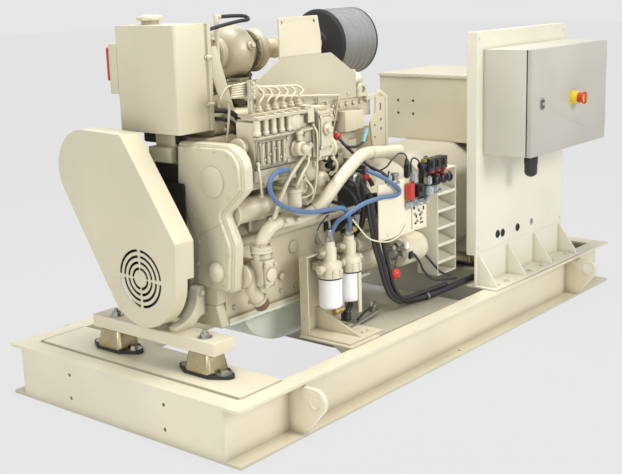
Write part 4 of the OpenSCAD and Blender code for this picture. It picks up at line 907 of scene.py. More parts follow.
# %% Filter fittings
CANS, CAN_Y = (-576, -453), -353
HOSE_HOLE = 9.3
bm = bmesh.new()
for x in CANS:
    union = (x, CAN_Y, 573)
    add_turned(bm, union, UP, [(HOSE_HOLE, 0), (15, 0), (15, 16), (12.5, 19), (HOSE_HOLE, 19)], 6)
    add_turned(bm, union, UP,
               [(HOSE_HOLE, 19), (12, 19), (12, 24), (13, 26), (13, 42), (11.5, 46),
                (HOSE_HOLE, 46)], 20)
    for rise in (26, 34):
        add_turned(bm, union, UP, [(12.9, rise), (14, rise + 1), (14, rise + 4), (12.9, rise + 5)], 20)
finish_piece("hose_unions", bm, GREY_STEEL, sharp=30)

bm = bmesh.new()
for x in CANS:
    for z in (328, 418):
        add_turned(bm, (x, CAN_Y, z), UP,
                   [(45.6, -2.5), (46.6, -1.5), (46.9, 0), (46.6, 1.5), (45.6, 2.5)], 48)
finish_piece("can_beads", bm, WHITE)
print("filter fittings made for", len(CANS), "cans")

# %% [markdown]
# ## Injection pump
# The real pump is a cast cam box with a plunger barrel for each cylinder, a ledge of
# delivery valves above them and a governor at the back. The frame's pump is a plain
# block-out, so this finer one stands in for it. It is built up as a pattern maker would
# build it, from rounded blocks and turned pieces, in three steps on one mesh.

# %% Pump body, barrels and valves
PUMP_FACE = -348
BARRELS = [-961 + 42 * i for i in range(6)]
VALVES = [-888 + 44 * i for i in range(6)]
bm = bmesh.new()
add_box(bm, (-966, PUMP_FACE, 905), (-652, -252, 1080), 7)
add_box(bm, (-985, -344, 852), (-835, -262, 912), 10)
add_box(bm, (-835, -330, 872), (-700, -262, 908), 8)
add_boss(bm, (-1000, -290, 985), REAR, [(34, 0), (34, 10), (28, 14), (28, 40)], 32)
add_box(bm, (-972, -361, 1012), (-655, -340, 1026), 4)
add_box(bm, (-972, -368, 1080), (-690, -286, 1091), 3.5)
add_box(bm, (-962, -334, 1088), (-676, -262, 1099), 3)
add_box(bm, (-958, -356, 916), (-812, PUMP_FACE + 2, 1004), 6)
for barrel, valve in zip(BARRELS, VALVES):
    add_turned(bm, (barrel, -353, 1024), UP,
               [(0, 0), (9, 1), (15, 6), (16.5, 12), (14, 18), (12, 22), (12.5, 56), (15, 59),
                (0, 59)], 20)
    add_boss(bm, (valve, -300, 1098), UP, [(14, 0), (14, 10), (11, 13)], 6)
    add_bolt(bm, (valve - 17, -350, 1091), UP, 6.5, 6)
    add_bolt(bm, (valve + 22, -272, 1098), UP, 6.0, 6)
for i, x in enumerate((-946, -918, -890, -862, -834)):
    add_box(bm, (x - 5, -366, 920 + 4 * (i % 2)), (x + 5, -350, 998), 2.5)
    add_bolt(bm, (x + 14, -356, 940 + 17 * (i % 3)), SERVICE, 5.5, 6)
for x, z in [(-800, 1000), (-700, 1000), (-800, 918), (-700, 918), (-690, 960)]:
    add_bolt(bm, (x, PUMP_FACE, z), SERVICE, 7, 8)
for x, z in [(-950, 995), (-820, 995), (-950, 924), (-820, 924), (-884, 995)]:
    add_screw(bm, (x, -356, z), SERVICE, 6)
print("pump body:", len(bm.verts), "corners")

# %% [markdown]
# ## Governor
# The governor at the pump's rear is a rounded box with a screwed cover, and a stub on which
# its lever would sit.

# %% Governor
add_box(bm, (-652, -366, 892), (-548, -246, 1092), 16)
add_box(bm, (-640, -374, 936), (-562, -362, 1064), 8)
add_box(bm, (-700, -360, 1030), (-640, -270, 1104), 12)
add_boss(bm, (-757, -352, 1054), SERVICE, [(34, 0), (34, 8), (26, 14)], 28)
for x, z in [(-632, 944), (-570, 944), (-632, 1056), (-570, 1056)]:
    add_screw(bm, (x, -374, z), SERVICE, 6.5)
add_boss(bm, (-600, -366, 1010), SERVICE, [(22, 0), (22, 16), (14, 20), (14, 30)])
print("with the governor:", len(bm.verts), "corners")

# %% [markdown]
# ## Feed pump and clamp bar
# The small feed pump on the pump's side ends in a hexagon plug, with unions above, beside
# and below it. A flat bar at the front carries the clamp for the six pipes.

# %% Feed pump and clamp bar
add_boss(bm, (-753, -348, 958), SERVICE, [(33, 0), (33, 10), (27, 14), (27, 34), (22, 40)], 28)
add_boss(bm, (-753, -388, 958), SERVICE, [(15, 0), (15, 14), (10, 17)], 6)
add_turned(bm, (-753, -370, 985), UP, [(0, 0), (12, 0), (12, 22), (15, 24), (15, 34), (0, 36)], 20)
add_boss(bm, (-712, -356, 930), (0.7, -0.7, 0), [(15, 0), (15, 12), (10, 15), (10, 24)], 20)
add_boss(bm, (-744, -352, 847), SERVICE, [(16, 0), (16, 22), (11, 26)], 18)
add_box(bm, (-944, -310, 1085), (-928, -296, 1218), 2)
add_box(bm, (-950, -322, 1150), (-924, -308, 1216), 3)
for z in (1160, 1182, 1206):
    add_bolt(bm, (-937, -322, z), SERVICE, 6, 6)
pump = finish_piece("pump_assembly", bm, CAST)
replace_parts(pump, "injection_pump")
print("injection pump made")

# %% [markdown]
# ## Injection pipes
# Six steel pipes bow out over their valves, run forward through the clamp, turn back and
# fan out to the injectors. They differ only in where they start, which lane they keep and
# where they end, so one loop draws all six.

# %% Injection pipes
bm = bmesh.new()
for i, (x, port) in enumerate(zip(VALVES, PORTS)):
    lane = 1206 - i * 8
    line = smooth_line([(x, -300, 1108), (x, -300, 1124), (x + 5, -302, 1138), (x + 20, -304, 1152),
                        (x + 24, -300, 1168 - i * 2), (x + 8, -292, 1186 - i * 3),
                        (x - 14 - i * 4, -289, 1190 - i * 3), (-915, -291, lane),
                        (-937, -292, lane), (-962 - i * 3, -284, lane - 2),
                        (-970 - i * 3, -262, lane - 6), (-950, -240, lane - 10),
                        (min(-900, port - 40), -228, lane - 16), (port - 60, -214, 1150 - i * 9),
                        (port - 16, -206, 1140 - i * 9), (port, -196, 1118 - i * 8),
                        (port, -184, 1030), (port, -170, 972), (port, -156, 953)], 4)
    add_tube(bm, line, 4.4, 10)
    add_turned(bm, (x, -300, 1108), UP, [(4.6, 0), (10, 0), (10, 11), (7.5, 15), (4.6, 15)], 6)
    add_boss(bm, (port, -151, 952), SERVICE, [(10, 0), (10, 12), (7, 15)], 6)
pipes = finish_piece("high_pressure_pipes", bm, CAST, sharp=50)
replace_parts(pipes, "injection_pipes")
print("injection pipes made:", len(PORTS))

# %% [markdown]
# ## Castings along the engine's side
# Below the pump hang the parts that make an engine's side so busy: a bracket, a horizontal
# water rail, a small strainer, and round housings at the back. They hide the crankcase's
# plain wall. Turned shapes and rounded boxes sunk into each other read as one casting.

# %% Side castings
LEAN = (0.25, -0.95, 0.18)
bm = bmesh.new()
add_box(bm, (-998, -262, 812), (-640, -190, 906), 12)
add_box(bm, (-998, -300, 838), (-900, -250, 900), 12)
for x in (-975, -905, -835, -765, -695):
    add_bolt(bm, (x, -262, 832), SERVICE, 9, 8)
add_turned(bm, (-998, -232, 742), REAR,
           [(0, 0), (56, 0), (56, 12), (46, 16), (46, 150), (50, 156), (50, 168), (44, 174),
            (40, 330), (0, 334)], 36)
for x, y, z, r, h in [(-560, -205, 846, 60, 64), (-500, -214, 772, 46, 70), (-455, -205, 716, 40, 60),
                      (-610, -200, 770, 34, 60), (-640, -200, 700, 30, 50)]:
    add_turned(bm, (x, y, z), LEAN,
               [(0, -20), (r, -20), (r, h * 0.55), (r * 0.93, h * 0.78), (r * 0.7, h * 0.94),
                (0, h)], 32)
    add_bolt(bm, (x + LEAN[0] * h, y + LEAN[1] * h, z + LEAN[2] * h), LEAN, r * 0.22, 8)
add_boss(bm, (-771, -352, 738), UP,
         [(22, 0), (26, 4), (26, 58), (29, 61), (29, 70), (20, 78), (10, 80), (10, 90)], 28)
add_box(bm, (-790, -345, 800), (-752, -262, 822), 5)
add_boss(bm, (-492, -236, 908), REAR,
         [(32, 0), (32, 6), (44, 10), (44, 22), (38, 26), (38, 58), (44, 62), (44, 76), (30, 82)],
         32)
add_box(bm, (-470, -225, 862), (-430, -190, 960), 8)
add_boss(bm, (-410, -236, 930), UP, [(14, 0), (14, 30), (10, 34)], 6)
for x in (-350, -322):
    add_boss(bm, (x, -205, 900), SERVICE, [(15, 0), (15, 26), (11, 30)], 20)
add_box(bm, (-384, -222, 820), (-300, -190, 880), 8)
add_box(bm, (-405, -212, 640), (-330, -190, 760), 10)
add_box(bm, (-440, -150, 860), (-150, -60, 1010), 14)
add_box(bm, (-300, -172, 880), (-200, -120, 960), 10)
add_box(bm, (-170, -118, 790), (120, 60, 934), 16)
for x in (-410, -350, -290, -230, -170):
    add_bolt(bm, (x, -150, 995), SERVICE, 8, 8)
finish_piece("side_castings", bm, CAST)
print("side castings made")

# %% [markdown]
# ## Small pipes
# Lubricating oil, fuel and water run between those castings in thin painted pipes. Each is
# a smooth tube through a few points with a union nut at both ends, turned along the pipe's
# own direction there.

# %% Small pipes
SMALL_PIPES = [
    ([(-672, -350, 958), (-700, -366, 946), (-750, -372, 915), (-782, -368, 884), (-815, -362, 848),
      (-836, -356, 811), (-856, -348, 765), (-868, -340, 724), (-870, -322, 704)], 8.0),
    ([(-656, -352, 1032), (-658, -372, 1010), (-660, -378, 980), (-664, -376, 887),
      (-674, -372, 800), (-684, -360, 754), (-690, -340, 738)], 4.0),
    ([(-712, -376, 930), (-735, -392, 900), (-768, -392, 870), (-790, -384, 830),
      (-771, -356, 812)], 5.0),
    ([(-744, -378, 847), (-720, -386, 820), (-700, -380, 790), (-712, -362, 772),
      (-746, -352, 768)], 4.5),
    ([(-960, -350, 930), (-968, -362, 900), (-962, -362, 860), (-940, -346, 820),
      (-905, -310, 800)], 5.0),
    ([(-560, -366, 900), (-540, -372, 870), (-520, -350, 840), (-500, -310, 820)], 5.0),
    ([(-930, -262, 880), (-900, -290, 870), (-820, -300, 850), (-700, -290, 840),
      (-640, -268, 812)], 6.0),
]
bm = bmesh.new()
for route, radius in SMALL_PIPES:
    line = smooth_line(route, 5)
    add_tube(bm, line, radius, 12)
    for end, beyond in ((line[0], line[1]), (line[-1], line[-2])):
        way = (beyond - end).normalized()
        add_boss(bm, end, way, [(radius * 1.7, -2), (radius * 1.7, 9), (radius * 1.3, 12)], 6)
finish_piece("small_pipes", bm, CAST, sharp=50)
print("small pipes made")

# %% [markdown]
# ## Fan belts
# Three belts run side by side round the lower and the upper pulley, behind the guard. A
# belt is straight between two pulleys and follows an arc on each, so its line is found from
# the outer tangents of the circles and swept as a tube.

# %% Fan belts
def belt_line(circles, x, per_turn=14):
    """Closed line of a belt round (y, z, radius) circles in the plane at x."""
    line = []
    for i, (y, z, r) in enumerate(circles):
        py, pz, pr = circles[i - 1]
        ny, nz, nr = circles[(i + 1) % len(circles)]
        first = math.atan2(z - pz, y - py) - math.acos((pr - r) / math.hypot(y - py, z - pz))
        last = math.atan2(nz - z, ny - y) - math.acos((r - nr) / math.hypot(ny - y, nz - z))
        turn = (last - first) % (2 * math.pi)
        line += [Vector((x, y + r * math.cos(first + turn * k / per_turn),
                         z + r * math.sin(first + turn * k / per_turn))) for k in range(per_turn + 1)]
    return line + [line[0]]


bm = bmesh.new()
for x in (-1231, -1215, -1199):
    add_tube(bm, belt_line([(-35, 533, 116), (228, 900, 81)], x), 6.0, 6)
finish_piece("fan_belts", bm, RUBBER, sharp=50)
print("fan belts made")

# %% [markdown]
# ## Painted shade in the gaps
# Black hoses, and black sheets of painted shade behind the belts, under the tank and along
# the engine's side, are what a viewer sees between the painted parts. Without them the gaps
# would read as pale paint.

# %% Painted shade sheets and black hoses
bm = bmesh.new()
# These black sheets are painted shade, not parts of the engine.
add_box(bm, (-1068, -84, 486), (-1061, 112, 850), 3)
add_box(bm, (-1046, -60, 830), (-1041, 148, 912), 2)
add_box(bm, (-1036, -30, 984), (-1002, 150, 1030), 4)
add_box(bm, (-420, -206, 560), (-140, -201, 800), 2)
add_box(bm, (-630, -206, 880), (-410, -200, 990), 2)
finish_piece("painted_shade_sheets", bm, SHADE_AND_PRINT_BLACK)

BLACK_HOSES = [
    ([(-931, -110, 1100), (-905, -140, 1100), (-884, -150, 1092), (-858, -150, 1080),
      (-838, -150, 1060), (-828, -146, 1036), (-828, -132, 1010)], 10.0),
    ([(-931, -100, 1072), (-900, -138, 1066), (-870, -150, 1052), (-850, -150, 1030),
      (-846, -136, 1008)], 7.0),
    ([(-440, -330, 800), (-425, -372, 770), (-420, -380, 728), (-400, -380, 690), (-372, -370, 668),
      (-350, -340, 660)], 6.0),
    ([(-345, -262, 780), (-335, -330, 760), (-340, -350, 700), (-350, -350, 640), (-345, -330, 580),
      (-330, -280, 540)], 11.0),
    ([(-300, -250, 790), (-290, -330, 770), (-285, -350, 740)], 9.0),
    ([(-390, -250, 760), (-385, -320, 720), (-380, -345, 660), (-384, -330, 600),
      (-376, -260, 560)], 9.0),
    ([(-460, -230, 700), (-450, -320, 690), (-440, -340, 640), (-446, -300, 590),
      (-450, -240, 570)], 7.0),
]
bm = bmesh.new()
add_tubes(bm, BLACK_HOSES, 6, 14)
finish_piece("black_hoses", bm, RUBBER, sharp=50)
print("dark parts made")

# %% [markdown]
# ## Outlines with round corners
# The gear case is a deep housing and a shallow cover with one outline. The outline is drawn
# once as corners with radii, the corners are rounded by arcs, and each layer is that outline
# drawn in by a few millimetres. A cast edge is a stack of such layers.

# %% Outlines with round corners
def rounded_line(corners, inset=0.0, per_turn=6):
    """A closed, anticlockwise outline from [u, v, radius] corners, drawn in by an inset."""
    points = []
    for i, (u, v, radius) in enumerate(corners):
        here = Vector((u, v))
        back = (Vector(corners[i - 1][:2]) - here).normalized()
        on = (Vector(corners[(i + 1) % len(corners)][:2]) - here).normalized()
        convex = back.cross(on) < 0
        half = back.angle(on) / 2
        inward = (back + on).normalized() * (1 if convex else -1)
        here = here + inward * inset / math.sin(half)
        radius = max(1.5, radius - inset if convex else radius + inset)
        middle = here + (back + on).normalized() * radius / math.sin(half)
        first, last = here + back * radius / math.tan(half), here + on * radius / math.tan(half)
        for k in range(per_turn + 1):
            chord = first.lerp(last, k / per_turn) - middle
            points.append(middle + chord.normalized() * radius)
    return points


def add_layers(bm, corners, layers):
    """Stacked copies of a (y, z) outline at [x, inset] pairs, closed at both ends."""
    rings = [[bm.verts.new(mm(x, p.x, p.y)) for p in rounded_line(corners, inset)] for x, inset in layers]
    for low, high in zip(rings, rings[1:]):
        for k in range(len(low)):
            n = (k + 1) % len(low)
            bm.faces.new((low[k], low[n], high[n], high[k]))
    for end in (rings[0][::-1], rings[-1]):
        bm.faces.new(end)


print("a rounded square has", len(rounded_line([(0, 0, 1), (9, 0, 1), (9, 9, 1), (0, 9, 1)])), "points")

# %% [markdown]
# ## Gear case
# The case is three outlines, its edge, a backing plate and a foot, all with the same small
# chamfer. The cover has a narrow flange and a raised face, on which stand a round boss, a
# domed boss and a thin rib. A low panel lies beside it, and bolts run round its edge.

# %% Gear case
EDGE = [(-286, 462, 28), (-105, 465, 6), (-118, 634, 30), (-31, 832, 20), (-44, 998, 8),
        (-360, 1002, 88), (-360, 846, 16), (-254, 748, 22), (-302, 640, 60)]
BACK = [(-200, 400, 20), (150, 400, 20), (150, 880, 20), (85, 915, 10), (-155, 915, 4), (-200, 800, 4)]
FOOT = [(-215, 318, 6), (145, 318, 6), (120, 402, 4), (-190, 402, 4)]
CRANK_COVER = [(-85, 470, 10), (110, 480, 40), (110, 830, 40), (-20, 830, 20), (-90, 640, 10)]
bm = bmesh.new()
for outline in (EDGE, BACK, FOOT):
    add_layers(bm, outline, [(-1000, 0), (-1036, 0), (-1040, 3)])
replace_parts(finish_piece("gear_case", bm, SHEET), "gear_housing")

bm = bmesh.new()
add_layers(bm, EDGE,
           [(-1039, 5), (-1045, 5), (-1046, 6.5), (-1046.2, 12), (-1047, 13), (-1057, 13.5),
            (-1059.4, 15), (-1060, 18)])
add_boss(bm, (-1060, -222, 868), FRONT, [(56, -1), (56, 4), (54, 8), (49, 10)], 48)
add_turned(bm, (-1060, -222, 539), FRONT, [(0, -1), (38, -1), *dome(38, 27), (0, 27)], 36)
add_layers(bm, CRANK_COVER, [(-1040, 0), (-1058, 0), (-1060, 2)])
add_tube(bm, [(-1060.2, -100, 648), (-1060.2, -180, 686), (-1060.2, -262, 725)], 1.6, 6)
for y, z in [(-92, 978), (-165, 980), (-235, 980), (-296, 972), (-332, 935), (-339, 872),
             (-297, 815), (-258, 690), (-279, 608), (-271, 530), (-252, 486), (-190, 487),
             (-130, 487), (-62, 922), (-72, 845), (-120, 735), (-140, 640), (-128, 560)]:
    add_bolt(bm, (-1058.5, y, z), FRONT, 6.5, 5)
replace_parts(finish_piece("gear_case_cover", bm, SHEET), "gear_cover")
print("gear case drawn from", len(EDGE), "corners")

# %% [markdown]
# ## Turbocharger
# Three turned housings on one shaft: the turbine towards the tank, the bearings between,
# and the compressor. One long outline turns all three, and rings of bolts close the two
# flanges. Stubs, a drain pipe and a foot finish it.

# %% Turbocharger
SHAFT = ((-640, 40, 1290), REAR)
bm = bmesh.new()
add_boss(bm, *SHAFT,
         [(56, -130), (62, -125), (62, -98), (74, -92), (88, -80), (98, -64), (104, -44),
          (105, -26), (103, -8), (97, 10), (84, 26), (60, 36), (60, 44), (66, 46), (66, 54),
          (48, 56), (48, 62), (70, 64), (80, 68), (80, 75), (70, 78), (78, 84), (84, 94), (85, 105),
          (80, 117), (66, 125), (48, 132), (36, 140), (34, 158)], 64)
for y, z in ring(8, 50, 22):
    add_bolt(bm, (-764, 40 + y, 1290 + z), FRONT, 6, 6)
for y, z in ring(10, 74):
    add_bolt(bm, (-574, 40 + y, 1290 + z), FRONT, 5, 5)
add_boss(bm, (-546, 84, 1262), DOWN, [(28, 0), (28, 62), (34, 66), (34, 76)], 28)
add_boss(bm, (-660, -52, 1312), (0, -0.96, 0.28), [(17, 0), (17, 16), (11, 22), (11, 30)], 20)
add_boss(bm, (-568, 40, 1250), DOWN, [(12, 0), (12, 160)], 16)
add_box(bm, (-700, 88, 1160), (-600, 150, 1174), 3)
add_box(bm, (-680, 92, 1174), (-620, 138, 1270), 8)
add_box(bm, (-720, -58, 1120), (-640, 30, 1196), 14)
add_boss(bm, (-690, -60, 1160), SERVICE, [(20, 0), (20, 12), (13, 16)])
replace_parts(finish_piece("turbocharger_housings", bm, SHADED_CAST), "turbocharger")
print("turbocharger made")

# %% [markdown]
# ## Intake sleeve and exhaust casting
# A pale rubber sleeve with two grooves joins the compressor to the air filter's pipe, held
# by a band near each end. Below the turbocharger a long casting with six slanted necks
# fills the space over the cylinder head, where the background would otherwise show through.

# %% Intake sleeve and exhaust casting
bm = bmesh.new()
add_turned(bm, *SHAFT,
           [(34, 148), (38, 150), (38, 176), (35, 182), (38, 188), (35, 194), (38, 200), (38, 244),
            (34, 250), (34, 500), (0, 500)], 48)
for x in (156, 226):
    add_turned(bm, *SHAFT, [(37, x), (40.5, x + 1), (40.5, x + 11), (37, x + 12)], 48)
finish_piece("intake_sleeve", bm, TAN)

bm = bmesh.new()
add_box(bm, (-760, 60, 1070), (-330, 150, 1160), 18)
for x in range(-740, -340, 78):
    add_boss(bm, (x, 70, 1090), (0, -0.8, 0.3), [(30, 0), (34, 40), (34, 70)])
    add_bolt(bm, (x + 39, 62, 1150), UP, 8, 18)
add_box(bm, (-700, -20, 1130), (-420, 60, 1172), 12)
finish_piece("exhaust_casting", bm, SHADED_CAST)
print("sleeve and exhaust casting made")

# %% [markdown]
# ## Raw-water pipe
# Sea water cools a marine engine. A wide bent pipe carries it along the engine from the
# pump, so it is swept like the hoses, with clamp bands and a flange turned about it.

# %% Raw-water pipe
PIPE = [(-60, -325, 851), (-140, -325, 858), (-220, -325, 866), (-278, -325, 871), (-318, -325, 869),
        (-366, -325, 850), (-471, -325, 791), (-564, -325, 727), (-612, -325, 702), (-655, -325, 692),
        (-723, -325, 688), (-800, -325, 692), (-855, -325, 690), (-895, -324, 672), (-916, -320, 648),
        (-925, -318, 630), (-925, -318, 612)]
bm = bmesh.new()
add_tube(bm, smooth_line(PIPE, 5), 25.0, 28)
add_turned(bm, (-925, -318, 612), UP, [(25, -2), (40, -2), (40, 10), (27, 14), (25, 14)], 32)
for at, axis in [((-262, -325, 870), (1, 0, 0.05)), ((-640, -325, 696), (1, 0, -0.2)),
                 ((-830, -325, 692), (1, 0, 0))]:
    add_turned(bm, at, axis, [(24, -5), (27.5, -4), (27.5, 4), (24, 5)], 28)
for at in [(-820, -352, 700), (-760, -352, 694)]:
    add_bolt(bm, at, SERVICE, 9, 10)
add_box(bm, (-290, -312, 820), (-268, -200, 846), 3)
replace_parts(finish_piece("sea_water_pipe", bm, CAST, sharp=50), "raw_water_pipe")
print("raw-water pipe made")

# %% [markdown]
# ## Raw-water pump
# The pump is a round casting bolted to the gear case, with a square body in front, a round
# outlet flange above and an elbow below. A brown plastic cap closes the elbow.

# %% Raw-water pump
bm = bmesh.new()
add_boss(bm, (-1000, -280, 518), REAR,
         [(44, 0), (44, 12), (38, 16), (34, 40), (38, 60), (38, 120), (34, 128)], 40)
for (y, z), (wide_y, wide_z) in zip(ring(6, 26, 20), ring(6, 39, 20)):
    add_bolt(bm, (-873, -280 + y, 518 + z), REAR, 6, 7)
    add_bolt(bm, (-988, -280 + wide_y, 518 + wide_z), REAR, 4.5, 6)
add_box(bm, (-958, -356, 470), (-890, -285, 584), 9)
add_boss(bm, (-925, -318, 560), UP, [(34, 0), (34, 36), (41, 40), (41, 51.5)], 36)
add_boss(bm, (-924, -356, 520), SERVICE, [(24, 0), (24, 8), (18, 11)], 28)
for x, z in [(-948, 480), (-900, 480), (-948, 556), (-900, 556)]:
    add_bolt(bm, (x, -356, z), SERVICE, 6, 6)
for x, y in ring(4, 33, 45):
    add_bolt(bm, (-925 + x, -318 + y, 592), DOWN, 6, 8)
    add_bolt(bm, (-925 + x, -318 + y, 622), UP, 6, 8)
elbow = [(-962, -290, 520), (-960, -290, 490), (-952, -288, 466), (-936, -286, 440), (-910, -285, 405)]
add_tube(bm, smooth_line(elbow, 4), 26, 28)
add_turned(bm, (-916, -285, 413), (0.6, 0, -0.8), [(26, -4), (31, -3), (31, 7), (26, 8)], 28)
add_boss(bm, (-905, -285, 545), (0, 1, 0), [(16, 0), (16, 85)], 20)
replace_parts(finish_piece("sea_water_pump", bm, CAST, sharp=50), "raw_water_pump")

bm = bmesh.new()
add_turned(bm, (-909, -285, 404), (0.6, 0, -0.8),
           [(0, 0), (29, 0), (30, 3), (30, 22), (27, 26), (0, 27)], 36)
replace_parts(finish_piece("drain_plug", bm, BROWN), "drain_cap")
print("raw-water pump and cap made")

# %% [markdown]
# ## Black boxes
# The plate beside the engine carries relays, small boxes and clear junctions, with short
# wires looped between them and thick leads that hang down to the skid. The black boxes and
# rings come first, and the wires join them on the same mesh.

# %% Black boxes
RELAYS = (9, 55, 101)
bm = bmesh.new()
add_box(bm, (-86, -438, 668), (-42, -400, 722), 4)
add_box(bm, (-40, -430, 658), (4, -400, 704), 4)
add_box(bm, (-74, -446, 688), (-52, -436, 712), 3)
add_box(bm, (-133, -414, 752), (-107, -392, 812), 6)
add_turned(bm, (-120, -403, 808), UP, [(0, 0), (11, 0), (7, 22), (0, 24)], 16)
add_boss(bm, (-50, -420, 792), REAR, [(14, 0), (16, 4), (16, 34), (13, 40)])
add_box(bm, (-38, -428, 742), (-6, -402, 784), 4)
for x in RELAYS:
    add_turned(bm, (x + 34, -446, 721), SERVICE,
               [(17, -6), (19, -4), (19, 4), (15, 8), (12, 8), (11, 3), (0, 3)])
    add_box(bm, (x - 12, -450, 776), (x + 12, -443, 806), 3)
add_box(bm, (-300, -300, 735), (-262, -260, 800), 5)
add_box(bm, (-96, -400, 402), (-68, -386, 434), 4)
for x, z in [(-455, 866), (-428, 858), (-402, 872), (-440, 838)]:
    add_box(bm, (x - 13, -262, z - 11), (x + 16, -238, z + 12), 5)
print("black boxes:", len(bm.verts), "corners")

# %% [markdown]
# ## Black wires
# A wire is a smooth tube through a handful of points. The short ones loop between the boxes,
# and the thick ones leave the engine, hang down behind the filters and run along the skid.

# %% Black wires
BLACK_WIRES = [
    ([(-120, -403, 826), (-124, -403, 842), (-139, -400, 855), (-168, -394, 857), (-200, -384, 836),
      (-217, -372, 811), (-238, -352, 796)], 3.5),
    ([(-50, -420, 798), (-58, -416, 818), (-72, -406, 828), (-84, -401, 820), (-88, -401, 790),
      (-84, -404, 740), (-76, -410, 722)], 3.5),
    ([(-36, -424, 806), (-20, -420, 822), (0, -418, 826), (9, -420, 815)], 3.0),
    ([(4, -420, 690), (24, -424, 700), (40, -440, 712)], 3.0),
    ([(-360, -240, 946), (-372, -262, 930), (-362, -280, 908), (-330, -292, 900), (-296, -300, 906),
      (-266, -300, 922)], 6.0),
    ([(-352, -270, 905), (-340, -312, 868), (-318, -344, 836), (-290, -356, 812), (-262, -366, 800),
      (-238, -380, 780), (-230, -396, 742)], 6.0),
    ([(-300, -360, 820), (-280, -372, 806), (-262, -384, 790), (-252, -390, 760),
      (-250, -398, 738)], 4.5),
    ([(-296, -368, 716), (-288, -384, 600), (-270, -388, 500), (-240, -392, 400), (-212, -392, 322),
      (-170, -396, 262), (-120, -404, 246), (-40, -412, 247), (40, -420, 247), (140, -426, 246)],
     9.0),
    ([(-352, -368, 700), (-344, -380, 600), (-330, -386, 506), (-304, -390, 429), (-276, -392, 348),
      (-236, -394, 276), (-170, -398, 232)], 8.0),
    ([(-60, -392, 418), (-30, -400, 380), (0, -404, 330), (60, -410, 282), (140, -414, 262),
      (230, -420, 250)], 5.0),
    ([(66, -346, 400), (90, -380, 350), (130, -400, 300), (190, -410, 268)], 5.0),
    ([(-600, -372, 682), (-624, -376, 676), (-650, -372, 656), (-662, -366, 632)], 3.0),
    ([(-189, -396, 440), (-200, -400, 420), (-208, -400, 400), (-209, -400, 378)], 2.4),
    ([(-310, -352, 238), (-352, -360, 240), (-400, -372, 236), (-442, -380, 226)], 5.0),
]
add_tubes(bm, BLACK_WIRES, 6, 10)
finish_piece("black_wiring", bm, BLACK, sharp=50)
print("black wiring made")

# %% [markdown]
# ## Coloured parts of the wiring
# Red buttons and caps, yellow tags and a white block are single small parts in moulded
# colour. All parts of one colour share a mesh, and so make one piece with one material.

# %% Coloured parts of the wiring
bm = bmesh.new()
add_box(bm, (-136, -428, 662), (-97, -400, 730), 3)
add_turned(bm, (-360, -236, 930), UP, [(0, 0), (15, 0), (16, 14), (12, 26), (0, 29)])
add_boss(bm, (-303, -330, 778), SERVICE, [(14, 0), (14, 6), (11, 9)])
ball = [(23 * math.sin(a), 23 - 23 * math.cos(a)) for a in (0.2, 0.4, 0.8, 1.2, 1.57, 2.0, 2.4, 2.8)]
add_turned(bm, (-209, -400, 343), UP, [(0, 0), *ball, (0, 46)], 28)
for x in RELAYS:
    add_box(bm, (x - 9, -447, 757), (x + 9, -428, 767), 2)
    add_box(bm, (x + 26, -452, 742), (x + 42, -440, 748), 1.5)
finish_piece("red_parts", bm, RED)

bm = bmesh.new()
add_box(bm, (-40, -438, 806), (-24, -416, 820), 2)
add_box(bm, (-33, -432, 716), (-25, -426, 746), 1.5)
add_box(bm, (-10, -442, 812), (-2, -420, 822), 2)
add_box(bm, (-268, -310, 915), (-246, -292, 936), 3)
finish_piece("yellow_parts", bm, OCHRE)

bm = bmesh.new()
add_box(bm, (-124, -400, 452), (-104, -386, 482), 3)
finish_piece("white_parts", bm, WHITE)
print("coloured parts made")

# %% [markdown]
# ## Clear junctions
# The junctions are boxes of clear plastic with a plug or two. Real glass would need many
# light bounces for parts this small, so a pale, glossy film with a blue grey painted into
# its gaps, as painted light through the plastic, gives much the same look.

# %% Clear junctions
bm = bmesh.new()
for low, high in [((-134, -426, 626), (-104, -400, 654)), ((-24, -448, 664), (16, -400, 702)),
                  ((18, -444, 676), (58, -400, 700)), ((-96, -420, 628), (-60, -402, 660)),
                  ((-58, -424, 628), (-20, -402, 654)), ((-10, -440, 706), (14, -404, 744)),
                  ((-98, -424, 734), (-70, -402, 772)), ((62, -430, 660), (86, -400, 690)),
                  ((-16, -432, 632), (10, -402, 658))]:
    add_box(bm, low, high, 5)
for x, z in [(-4, 690), (36, 688), (-78, 642), (-40, 640), (74, 676)]:
    add_boss(bm, (x, -446, z), SERVICE, [(7, -20), (7, 4), (4, 6)], 16)
finish_piece("clear_junctions", bm, CLEAR)
print("clear junctions made")

# %% [markdown]
# ## Plated fittings
# Unions, a hose clip, a ring on its base, a few short pipes and the heads on the junction
# panel are plain zinc. They are turned or swept like the rest and share one piece.

# %% Plated fittings
bm = bmesh.new()
add_turned(bm, (-183, -388, 739), UP,
           [(0, 0), (19, 0), (19, 9), (12, 12), (12, 30), (16, 32), (16, 42), (0, 44)])
add_boss(bm, (-222, -380, 742), (0.3, 0, 1), [(12, 0), (12, 24), (8, 28), (8, 52)], 6)
add_boss(bm, (-118, -330, 426), FRONT, [(30, 0), (30, 8), (22, 14), (22, 30)], 28)
add_turned(bm, (-150, -372, 470), FRONT, [(0, -26), (13, -26), (13, 0), (17, 2), (17, 14), (0, 16)], 6)
add_turned(bm, (-140, -392, 436), SERVICE, [(0, -20), (12, -20), (12, 0), (15, 2), (15, 10), (0, 12)], 20)
add_boss(bm, (-195, -385, 470), SERVICE, [(12, -30), (12, 4), (8, 8)], 20)
add_turned(bm, (-7, -418, 224), REAR, [(14, -6), (18, -6), (18, 6), (14, 6)])
add_box(bm, (-12, -420, 238), (-2, -416, 258), 1)
add_tube(bm, [(-505, -398, 214), (-400, -388, 221), (-300, -378, 228)], 6.0, 14)
